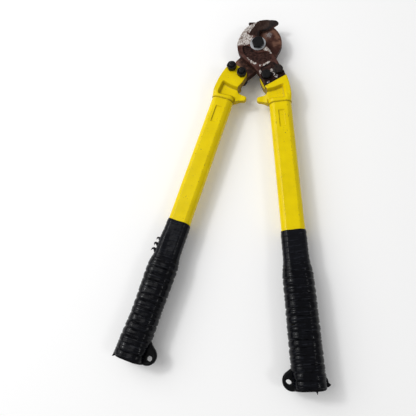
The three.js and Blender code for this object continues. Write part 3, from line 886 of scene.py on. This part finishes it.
def ear_solid(side):
    """Hanging ear with rounded rims and its hole, which has worn a little oval."""
    ear = EARS[side]
    r, flare = ear["r"], ear["flare"]
    middle, root = (EAR_X, ear["y"]), EAR_X + 9
    high, low = ear["y"] + r, ear["y"] - r
    outline = loop_of(
        [(root, high + flare), (EAR_X + 1.5, high + flare * 0.6), (EAR_X - 3.0, high + flare * 0.1),
         arc_point(r, 128, middle)],
        arc(middle, r, 128, 270),
        [(EAR_X, low), (root, low + 0.4)],
    )
    long_r, short_r = ear["hole_r"]
    hole = circle((0, 0), long_r, 0.6) * (1, short_r / long_r)
    hole = spin(with_height(hole, 0), -40, EAR_HOLE)[:, :2]

    def half(points):
        edge = np.where(points[:, 0] > root - 3, 9, depth_in(points, outline))
        rims = rim_fall(edge, 2.4) + rim_fall(-depth_in(points, hole), 1.2)
        return EAR_HALF - 0.5 + 0.5 * near(edge, 2.0, 0.4, 2.2) - rims

    chains = [moved_in(outline, d) for d in (0.06, 0.3, 0.8, 1.6, 2.4)]
    chains += [moved_in(hole, -d) for d in (0.1, 0.5, 1.2)]
    return relief(outline, [hole], split_chains(chains), half, lambda p: -half(p), 5, step=0.9)


def build_sleeve(side):
    rings = []
    for y, half_w, half_d in SLEEVE_STATIONS:
        rings.append(ring(y, oval_section(half_w, half_d), grip_axis(side, y)))
    for inset_by in (4, 8):
        points = rings[-1]
        middle = points.mean(0)
        scale = 1 - inset_by / 17
        rings.append(middle + (points - middle) * (scale, 1, scale) + (0, -0.25 + 0.05 * inset_by, 0))
    bore = creased_section(GAP)
    hollow = [ring(SLEEVE_TOP_Y + 3, bore), ring(TUBE_END_Y - GAP, bore)]
    parts = (loft(rings), ear_solid(side), loft(hollow))
    names = (f"grip_sleeve_{side}_shape", "sleeve_ear", "sleeve_bore")
    body, ear, cutter = (new_piece(name, side, *part) for name, part in zip(names, parts))
    apply_boolean(body, ear, "UNION")
    apply_boolean(body, cutter, "DIFFERENCE")
    finish_piece(body, side, "grip_rubber", 45)


def apply_boolean(body, other, operation):
    modifier = body.modifiers.new("cut", "BOOLEAN")
    modifier.operation = operation
    modifier.solver = "EXACT"
    modifier.object = other
    graph = bpy.context.evaluated_depsgraph_get()
    result = bpy.data.meshes.new_from_object(body.evaluated_get(graph))
    body.modifiers.clear()
    body.data = result
    bpy.data.objects.remove(other)


# Path, width at the root and thickness of each torn end.
TAGS = {
    "left": {
        "curl_top": (
            [(39.6, -325.4, -4), (43.2, -322.6, -4), (45.6, -323.2, -4), (45.4, -326, -4)], 4.4, 2.0,
        ),
        "curl_mid": ([(39.9, -333.4, -4), (43.8, -330.6, -4), (46.6, -331, -4), (46, -334.6, -4)], 5.0, 2.2),
        "curl_low": (
            [(40.6, -342.6, -3), (44.2, -338.6, -3), (46.8, -338.6, -3), (48.8, -342, -3)], 5.6, 2.2,
        ),
        "corner": ([(42, -476, -4), (44.6, -482.2, -4), (46.6, -486.6, -4), (48.6, -489.4, -4)], 10, 1.2),
    },
    "right": {
        "corner": ([(41.6, -476.4, 3), (44.4, -479.4, 3), (47.2, -481, 3), (50.4, -480.8, 3)], 12, 1.2),
        "hem": ([(31, -482, 14), (31.6, -486, 13.6), (32.2, -488.8, 13), (32.4, -490.6, 12.4)], 4.4, 1.0),
    },
}


def build_tag(side, label, path, width, thickness):
    """A torn end of tape that has lifted off the grip: a strip flat across its path, and tapering."""
    path = spline(path, 0.5)
    along = np.gradient(path, axis=0)
    across = np.stack([-along[:, 1], along[:, 0], 0 * along[:, 0]], 1)
    across /= np.linalg.norm(across, axis=1)[:, None]
    widths = np.maximum(width * (1 - np.linspace(0, 1, len(path)) ** 1.6), 0.3)
    turn = np.radians(np.arange(0, 360, 30))[:, None]
    rings = []
    for point, sideways, w in zip(path, across, widths):
        lift = np.sin(turn) * min(thickness, w) / 2 * (0, 0, 1)
        rings.append(point + sideways * (np.cos(turn) * w / 2) + lift)
    points, faces = loft(rings)
    points += 0.15 * field(points, 2.2, 61)[:, None]
    piece = new_piece(f"torn_tape_{side}_{label}", side, points, faces)
    plain = np.zeros(len(points))
    finish_piece(piece, side, "grip_tape", 50, groove=plain, drawn=plain, lip=plain)


# ---------- fasteners ----------

HEX_STEPS = 96
HEX_ANGLES = np.linspace(0, 2 * math.pi, HEX_STEPS, endpoint=False)
# The chamfers start this far in from the flats.
FACE_INSET = 0.25


def hex_radius(across_flats, rounding=0.18):
    """Radius at each of HEX_ANGLES of a hexagon whose corners are slightly rounded."""
    folded = (HEX_ANGLES + math.pi / 6) % (math.pi / 3) - math.pi / 6
    return np.minimum(across_flats / 2 / np.cos(folded), across_flats / math.sqrt(3) - rounding)


def flat_ring(radius, z):
    r = radius + 0 * HEX_ANGLES
    return np.stack([r * np.cos(HEX_ANGLES), r * np.sin(HEX_ANGLES), np.full(HEX_STEPS, z)], 1)


def lathe_rings(profile, limit=np.inf):
    """Rings about Z from (radius, z) points, held within a limit at each of HEX_ANGLES."""
    return [flat_ring(np.minimum(radius, limit), z) for radius, z in profile]


def hex_rings(across_flats, low, high, both):
    """Rings up a hexagonal head or nut, chamfered above, and below too where both is true."""
    corner = across_flats / math.sqrt(3)
    face = across_flats / 2 - FACE_INSET
    drop = (corner - face) * 0.62
    ends = [(face, 0.0), (face + 0.35, drop * 0.16), ((face + corner) / 2, drop * 0.5), (corner + 0.1, drop)]
    below = [(face - 0.1, low), (face, low + 0.25), (corner, low + 0.4)]
    if both:
        below = [(r, low + d) for r, d in ends]
    above = [(r, high - d) for r, d in reversed(ends)]
    return lathe_rings(below + above, hex_radius(across_flats))


def thread_rings(radius, low, high, pitch=1.25, depth=0.62):
    """Rings up a threaded shank; the helix fades out at both ends."""
    rings = []
    for z in np.arange(low, high, pitch / 8):
        wave = np.abs(((z / pitch - HEX_ANGLES / (2 * math.pi)) % 1) * 2 - 1)
        fade = min(1.0, (z - low) / pitch, (high - z) / pitch)
        rings.append(flat_ring(radius - depth * wave * max(fade, 0), z))
    return rings


def bolt_mesh(radius, across_flats, head_z, head_h, end_z, thread_top):
    """Hexagon bolt, head up, with a rounded threaded end down."""
    tip = [(0.05, 0), (radius * 0.62, 0.02), (radius * 0.76, 0.16), (radius * 0.88, 0.55)]
    rings = lathe_rings([(r, end_z + z) for r, z in tip])
    rings += thread_rings(radius * 0.97, end_z + 1.0, thread_top)
    rings += lathe_rings([(radius, thread_top + 0.4), (radius, head_z - 0.4), (radius + 0.3, head_z)])
    face, top = across_flats / 2 - FACE_INSET, head_z + head_h
    rings += hex_rings(across_flats, head_z, top, False)
    rings += lathe_rings([(face - 0.5, top + 0.03), (face * 0.6, top), (face * 0.2, top), (0.05, top)])
    return loft(rings)


def nut_mesh(radius, across_flats, low, high):
    """Hexagon nut with chamfered threads, as a ring that closes on itself."""
    bore = radius + 0.2
    inner = [(bore + 0.9, high), (bore, high - 0.8), (bore, low + 0.8), (bore + 0.9, low)]
    return loft(hex_rings(across_flats, low, high, True) + lathe_rings(inner), around=True)


def washer_mesh(low, high, inner=5.3, outer=11.6, soft=0.28):
    profile = [
        (inner, low), (outer - soft, low), (outer, low + soft), (outer, high - soft), (outer - soft, high),
        (outer - 1.6, high + 0.02), (inner + soft, high), (inner, high - soft),
    ]
    return loft(lathe_rings(profile), around=True)


def spin(points, degrees, centre=(0, 0)):
    a = math.radians(degrees)
    x, y, z = points.T
    return np.stack([
        x * math.cos(a) - y * math.sin(a) + centre[0],
        x * math.sin(a) + y * math.cos(a) + centre[1],
        z,
    ], 1)


def build_fastener(node, shape, slot, degrees=0, side="right", centre=(0, 0)):
    points = spin(shape[0], degrees, centre)
    piece = new_piece(f"{node}_shape", side, points, shape[1])
    finish_piece(piece, side, slot, 24, rust=np.full(len(points), float(node == RUSTED)))


RUSTED = "blade_bolt_right_outer"
# Each bolt was tightened to its own angle, and so was each nut.
BOLT_TURNS = {
    ("right", "inner"): (18, 7), ("right", "outer"): (34, 22),
    ("left", "inner"): (11, -2), ("left", "outer"): (47, 13),
}
# Thread radius and size across flats.
BLADE_BOLT = (4.0, 13.0)
PIVOT_BOLT = (5.0, 16.5)


def build_fasteners():
    nut_high = -HEAD_HALF - GAP
    nut_low = nut_high - 6.5
    bolt = bolt_mesh(*BLADE_BOLT, BLADE_T - SEAT_DEPTH + GAP, 5.3, nut_low - 2.4, nut_high + 6)
    nut = nut_mesh(*BLADE_BOLT, nut_low, nut_high)
    for (side, where), turns in BOLT_TURNS.items():
        for kind, shape, turn in zip(("bolt", "nut"), (bolt, nut), turns):
            node = f"blade_{kind}_{side}_{where}"
            build_fastener(node, shape, "black_oxide", turn, side, BOLTS[where])
    washer_low = BLADE_T + GAP
    washer_high = washer_low + 1.5
    head_low = washer_high + GAP
    pivot_bolt = bolt_mesh(*PIVOT_BOLT, head_low, 4.6, -head_low - 8.7, -10.0)
    build_fastener("pivot_bolt", pivot_bolt, "black_oxide", 14)
    build_fastener("pivot_nut", nut_mesh(*PIVOT_BOLT, -head_low - 7.0, -head_low), "black_oxide", 3)
    for end, low, high in (("front", washer_low, washer_high), ("rear", -washer_high, -washer_low)):
        build_fastener(f"pivot_washer_{end}", washer_mesh(low, high), "bright_zinc")


# ---------- materials ----------


class Surface:
    """A Principled material and short ways to add nodes to it."""

    def __init__(self, name):
        self.material = bpy.data.materials.new(name)
        self.material.use_nodes = True
        self.tree = self.material.node_tree
        self.shader = self.tree.nodes["Principled BSDF"]
        self.place = self.node("ShaderNodeAttribute", attribute_name="place").outputs["Vector"]

    def node(self, kind, inputs=None, **settings):
        made = self.tree.nodes.new(kind)
        for key, value in settings.items():
            setattr(made, key, value)
        for key, value in (inputs or {}).items():
            self.feed(made.inputs[key], value)
        return made

    def feed(self, socket, value):
        if isinstance(value, bpy.types.NodeSocket):
            self.tree.links.new(value, socket)
        else:
            socket.default_value = value

    def mask(self, name):
        return self.node("ShaderNodeAttribute", attribute_name=name).outputs["Fac"]

    def noise(self, size, detail=4.0, rough=0.55, stretch=(1, 1, 1), distort=0.0):
        """Noise with features about size mm across."""
        place = self.node("ShaderNodeMapping", {"Vector": self.place, "Scale": stretch}).outputs["Vector"]
        inputs = {"Vector": place, "Scale": 1 / size, "Detail": detail, "Roughness": rough}
        return self.node("ShaderNodeTexNoise", {**inputs, "Distortion": distort}).outputs["Fac"]

    def steps(self, value, low, high):
        """0 below low, 1 above high, smooth between."""
        inputs = {"Value": value, "From Min": low, "From Max": high}
        made = self.node("ShaderNodeMapRange", inputs, interpolation_type="SMOOTHSTEP")
        return made.outputs["Result"]

    def spread(self, value, gain):
        """Noise stretched about its middle to fill 0 to 1."""
        return self.sum(0.5, self.times(self.sum(value, -0.5), gain), clamp=True)

    def span(self, value, low, high):
        inputs = {"Value": value, "From Min": 0.3, "From Max": 0.7, "To Min": low, "To Max": high}
        return self.node("ShaderNodeMapRange", inputs).outputs["Result"]

    def sum(self, a, b, operation="ADD", clamp=False):
        made = self.node("ShaderNodeMath", operation=operation, use_clamp=clamp)
        self.feed(made.inputs[0], a)
        self.feed(made.inputs[1], b)
        return made.outputs["Value"]

    def times(self, a, b):
        return self.sum(a, b, "MULTIPLY")

    def blend(self, factor, a, b):
        made = self.node("ShaderNodeMix", data_type="RGBA")
        self.feed(made.inputs["Factor"], factor)
        for socket, value in zip([s for s in made.inputs if s.type == "RGBA"], (a, b)):
            self.feed(socket, value if isinstance(value, bpy.types.NodeSocket) else (*value, 1.0))
        return [s for s in made.outputs if s.type == "RGBA"][0]

    def layers(self, colour, *over):
        """The colour with others laid over it, each given as a mask, how strong it is, and its colour."""
        for mask, strength, other in over:
            colour = self.blend(self.times(mask, strength), colour, other)
        return colour

    def bump(self, height, distance, before=None):
        inputs = {"Height": height, "Distance": distance * MM, "Strength": 1.0}
        if before is not None:
            inputs["Normal"] = before
        return self.node("ShaderNodeBump", inputs).outputs["Normal"]

    def finish(self, colour, roughness, normal, **fixed):
        self.feed(self.shader.inputs["Base Color"], colour)
        self.feed(self.shader.inputs["Roughness"], roughness)
        self.feed(self.shader.inputs["Normal"], normal)
        for key, value in fixed.items():
            self.feed(self.shader.inputs[key.replace("_", " ")], value)
        return self.material


def yellow_paint(name, cast):
    """Thick glossy enamel, with knocks, rust specks and dark joints; darker at the foot of the pocket's
    slope; painted shade on walls turned from the light, along the blade's shoulder gap and in the pressed
    mark.
    """
    s = Surface(name)
    tone = s.span(s.noise(18, 3), 0, 1)
    mottled = s.steps(s.noise(4.5, 5, 0.6), 0.50, 0.72)
    # Painted shade on walls turned from the light.
    wall_shade = s.times(s.mask("wall"), s.span(s.noise(3.5, 4, 0.6), 0.70, 1.0))
    # Dark joints, darker pocket feet, and painted shade in the shoulder gap and the pressed mark.
    dirt = s.times(s.mask("dirt"), s.steps(s.noise(2.2, 5, 0.7), 0.30, 0.56))
    specks = s.steps(s.noise(1.7 if cast else 2.2, 3, 0.6), 0.63 if cast else 0.655, 0.70)
    patch = s.steps(s.noise(15, 2), 0.46, 0.60)
    worn_edge = s.times(s.mask("edge"), s.steps(s.noise(2.0, 4, 0.65), 0.56, 0.64))
    chips = s.sum(s.times(specks, patch), s.times(worn_edge, 0.7), "MAXIMUM", clamp=True)
    colour = s.blend(tone, (0.715, 0.535, 0.0006), (0.80, 0.61, 0.0008))
    colour = s.layers(colour, (mottled, 0.22, (0.66, 0.44, 0.002)))
    colour = s.blend(wall_shade, colour, (0.165, 0.090, 0.0008))
    colour = s.layers(colour, (dirt, 0.72, (0.13, 0.070, 0.012)), (chips, 0.85, (0.12, 0.060, 0.018)))
    rough = s.sum(s.span(s.noise(9, 4), 0.15, 0.25), s.times(s.sum(dirt, chips), 0.3))
    normal = s.bump(s.noise(3.2, 2, 0.4), 0.16 if cast else 0.07)
    normal = s.bump(s.noise(0.9, 3, 0.5), 0.035, normal)
    normal = s.bump(s.times(chips, -1.0), 0.10, normal)
    return s.finish(colour, rough, normal, Specular_IOR_Level=0.13)


def rusty_steel(s, fine):
    """Maroon rust, with blacker pitting in the pressed floors and browner ground faces, and a painted
    highlight along the ground face's crease.
    """
    big = s.spread(s.noise(8, 5, 0.6), 4)
    pits = s.spread(s.noise(2.4, 4, 0.65, (0.8, 1.3, 1.0)), 7)
    streak = s.span(s.noise(2.2, 5, 0.6, (1.0, 0.22, 1.0)), 0, 1)
    bevel = s.blend(streak, (0.020, 0.0085, 0.0068), (0.052, 0.029, 0.022))
    land = s.blend(streak, (0.010, 0.0075, 0.0075), (0.038, 0.030, 0.029))
    # Painted highlight along the crease between the ground face and the land.
    crease_highlight = s.times(s.mask("crease"), s.spread(s.noise(2.4, 5, 0.65), 4))
    colour = s.layers(
        s.blend(big, (0.044, 0.0140, 0.0095), (0.108, 0.048, 0.038)),
        (fine, 0.5, (0.024, 0.0100, 0.0085)),
        (s.mask("pit"), 0.8, s.blend(pits, (0.006, 0.0020, 0.0017), (0.052, 0.023, 0.018))),
    )
    colour = s.blend(s.mask("ground"), colour, s.blend(s.mask("land"), bevel, land))
    return s.layers(colour, (crease_highlight, 0.8, (0.082, 0.058, 0.050)))


def tan_steel(s):
    """The blades' inner faces: lighter rust in sweeps, with a patch rubbed bare."""
    tan = s.spread(s.noise(8, 4, 0.55, distort=0.8), 5)
    swept = s.spread(s.noise(4.5, 4, 0.6, (0.5, 1.0, 1.0), 0.8), 5)
    bare = s.times(s.mask("inner_worn"), s.steps(s.noise(2.2, 5, 0.7, (1.0, 0.5, 1.0)), 0.40, 0.58))
    colour = s.layers(
        s.blend(tan, (0.040, 0.0130, 0.0090), (0.150, 0.074, 0.050)),
        (swept, 0.7, (0.042, 0.0150, 0.0105)),
        (s.mask("browned"), 0.7, (0.185, 0.092, 0.062)),
        # Darker rust, and a painted shadow along the front blade's bevel.
        (s.mask("dark_rust_and_shadow"), 0.75, (0.034, 0.0105, 0.0080)),
    )
    return s.blend(bare, colour, (0.24, 0.215, 0.215))


def blade_steel():
    """Forged steel gone maroon with rust, rubbed to bright metal on its high faces, with painted shade and
    grease laid dark over it.
    """
    s = Surface("blade_steel")
    fine = s.spread(s.noise(1.6, 5, 0.65), 4)
    patches = s.times(s.sum(s.noise(6.0, 4, 0.6, distort=0.8), -0.5), 3.6)
    islands = s.sum(patches, s.times(s.sum(s.noise(2.6, 4, 0.65), -0.5), 3.4))
    near_worn = s.sum(0.25, s.times(s.mask("worn"), 3.0), clamp=True)
    bright = s.steps(s.sum(s.mask("worn"), s.times(islands, near_worn)), 0.30, 0.66)
    scuffs = s.blend(s.spread(s.noise(3.0, 4, 0.65), 4), (0.22, 0.165, 0.135), (0.70, 0.67, 0.645))
    # Near black: painted shade in the throat, gaps, walls and recess edges, and grease beside the front
    # blade.
    shade_and_grime = s.times(s.mask("shade_and_grime"), s.steps(s.noise(5, 4, 0.6), 0.25, 0.55))
    shade_and_grime = s.times(shade_and_grime, s.sum(1.0, s.times(bright, 0.85), "SUBTRACT"))
    colour = s.blend(s.mask("inner"), rusty_steel(s, fine), tan_steel(s))
    colour = s.layers(s.blend(bright, colour, scuffs), (shade_and_grime, 0.85, (0.008, 0.005, 0.005)))
    rough = s.sum(s.span(fine, 0.44, 0.60), s.times(bright, -0.10))
    rough = s.sum(rough, s.times(shade_and_grime, -0.08))
    hammered = s.times(s.mask("pit"), s.spread(s.noise(2.8, 3, 0.6, (0.7, 1.4, 1)), 3))
    normal = s.bump(s.noise(1.2, 6, 0.65), 0.12)
    normal = s.bump(s.noise(0.5, 3, 0.6, (1, 0.2, 1)), 0.03, normal)
    normal = s.bump(hammered, 0.8, normal)
    return s.finish(colour, rough, normal, Metallic=s.times(bright, 0.2), Specular_IOR_Level=0.10)


def black_oxide():
    """Blackened fasteners with a film of oil and rubbed edges."""
    s = Surface("black_oxide")
    colour = s.blend(s.span(s.noise(3.0, 5), 0, 1), (0.0028, 0.0030, 0.0036), (0.0075, 0.0072, 0.0074))
    brown = s.steps(s.noise(4.5, 5, 0.65), 0.54, 0.70)
    brown = s.sum(s.times(brown, 0.5), s.times(s.mask("rust"), s.spread(s.noise(5, 3), 3)), clamp=True)
    colour = s.blend(brown, colour, (0.030, 0.0185, 0.0150))
    rough = s.span(s.noise(2.0, 4), 0.24, 0.40)
    normal = s.bump(s.noise(0.8, 5, 0.6), 0.05)
    return s.finish(colour, rough, normal, Specular_IOR_Level=0.17)


def bright_zinc():
    s = Surface("bright_zinc")
    colour = s.blend(s.span(s.noise(2.4, 5, 0.6), 0, 1), (0.40, 0.41, 0.43), (0.66, 0.67, 0.69))
    colour = s.blend(s.steps(s.noise(3.4, 5, 0.7), 0.60, 0.72), colour, (0.20, 0.165, 0.14))
    rough = s.span(s.noise(1.4, 4), 0.26, 0.44)
    normal = s.bump(s.noise(0.7, 4, 0.6), 0.03)
    return s.finish(colour, rough, normal, Metallic=0.75)


def bronze():
    s = Surface("bronze")
    generated = s.node("ShaderNodeTexCoord").outputs["Object"]
    grain = s.node("ShaderNodeTexNoise", {"Vector": generated, "Scale": 700.0}).outputs["Fac"]
    colour = s.blend(grain, (0.40, 0.22, 0.08), (0.56, 0.36, 0.14))
    return s.finish(colour, s.span(grain, 0.3, 0.5), s.bump(grain, 0.03), Metallic=0.9)


def vinyl_tape():
    """Stretched black vinyl tape: satin, with creases that catch the light."""
    s = Surface("vinyl_tape")
    tone = s.span(s.noise(10, 4, 0.6), 0, 1)
    dust = s.steps(s.noise(3.2, 6, 0.7), 0.54, 0.74)
    dusty_lip = s.times(s.mask("lip"), s.steps(s.noise(7, 3, 0.6), 0.42, 0.62))
    colour = s.layers(
        s.blend(tone, (0.0006, 0.0007, 0.0015), (0.0018, 0.0020, 0.0036)),
        (s.mask("drawn"), 0.6, (0.0050, 0.0054, 0.0080)),
        (dust, 0.2, (0.010, 0.0105, 0.014)),
        # Painted shade in the grooves between the ribs.
        (s.mask("groove"), 0.7, (0.0005, 0.0005, 0.0008)),
        (dusty_lip, 0.55, (0.022, 0.024, 0.032)),
    )
    rough = s.sum(s.span(s.noise(6, 4), 0.12, 0.22), s.times(dust, 0.08))
    normal = s.bump(s.noise(1.7, 3, 0.55, (0.12, 1.0, 0.12)), 0.25)
    normal = s.bump(s.noise(0.6, 3, 0.5, (0.4, 1, 0.4)), 0.04, normal)
    return s.finish(colour, rough, normal, Specular_IOR_Level=0.12)


def moulded_rubber():
    s = Surface("moulded_rubber")
    tone = s.span(s.noise(8, 4, 0.6), 0, 1)
    dust = s.steps(s.noise(2.4, 5, 0.7), 0.56, 0.74)
    colour = s.blend(tone, (0.0018, 0.0019, 0.0023), (0.0052, 0.0054, 0.0060))
    colour = s.layers(colour, (dust, 0.3, (0.018, 0.018, 0.019)))
    rough = s.span(s.noise(3, 4), 0.36, 0.52)
    normal = s.bump(s.noise(0.9, 4, 0.6), 0.06)
    return s.finish(colour, rough, normal, Specular_IOR_Level=0.06)


def pale_floor():
    """Plain matt studio board."""
    material = bpy.data.materials.new("pale_floor")
    material.use_nodes = True
    shader = material.node_tree.nodes["Principled BSDF"]
    shader.inputs["Base Color"].default_value = (0.97, 0.97, 0.97, 1)
    shader.inputs["Roughness"].default_value = 0.9
    shader.inputs["Specular IOR Level"].default_value = 0.1
    return material


# ---------- camera, light and floor ----------


def make_camera():
    data = bpy.data.cameras.new("camera")
    data.sensor_width = 36.0
    data.lens = 37.388
    data.clip_start = 0.01
    camera = bpy.data.objects.new("camera", data)
    camera.location = Vector(PIVOT) + Vector((61.370, -399.070, 580.148)) * MM
    camera.rotation_euler = (0.2571775, 0.14093801, 0.14003233)
    bpy.context.scene.collection.objects.link(camera)
    bpy.context.scene.camera = camera


def make_light(name, location, size, power):
    """Round area light aimed at the origin."""
    data = bpy.data.lights.new(name, "AREA")
    data.shape = "DISK"
    data.size = size
    data.energy = power
    light = bpy.data.objects.new(name, data)
    light.location = location
    light.rotation_euler = (-light.location).to_track_quat("-Z", "Y").to_euler()
    bpy.context.scene.collection.objects.link(light)


def make_stage():
    reach = 12
    corners = [(-reach, -reach, 0), (reach, -reach, 0), (reach, reach, 0), (-reach, reach, 0)]
    floor = make_object("floor", corners, [(0, 1, 2, 3)])
    floor.data.materials.append(pale_floor())
    make_light("key", (-1.75, 0.5, 1.8), 2.8, 41)
    make_light("sparkle", (-1.35, 0.35, 1.6), 0.4, 10)
    make_light("fill", (1.3, -0.35, 1.5), 0.4, 3.5)
    world = bpy.data.worlds.new("studio")
    bpy.context.scene.world = world
    world.use_nodes = True
    background = world.node_tree.nodes["Background"]
    background.inputs["Color"].default_value = (1.0, 1.0, 1.0, 1)
    background.inputs["Strength"].default_value = 0.42
    bpy.context.scene.view_settings.view_transform = "Standard"


# ---------- assembly ----------

make_camera()
make_stage()

# The material of each slot in the record.
LOOKS = {
    "blade_steel": blade_steel(),
    "yellow_casting": yellow_paint("yellow_casting", True),
    "yellow_tube": yellow_paint("yellow_tube", False),
    "grip_rubber": moulded_rubber(),
    "grip_tape": vinyl_tape(),
    "black_oxide": black_oxide(),
    "bright_zinc": bright_zinc(),
}

build_blade("right")
build_blade("left")
for arm_side in ("right", "left"):
    build_head(arm_side)
    build_tube(arm_side)
    build_sleeve(arm_side)
    build_tape(arm_side)
    for tag_label, tag in TAGS[arm_side].items():
        build_tag(arm_side, tag_label, *tag)
build_fasteners()
bush = frame["nodes"]["pivot_bush"]
bush.data.materials.clear()
bush.data.materials.append(bronze())
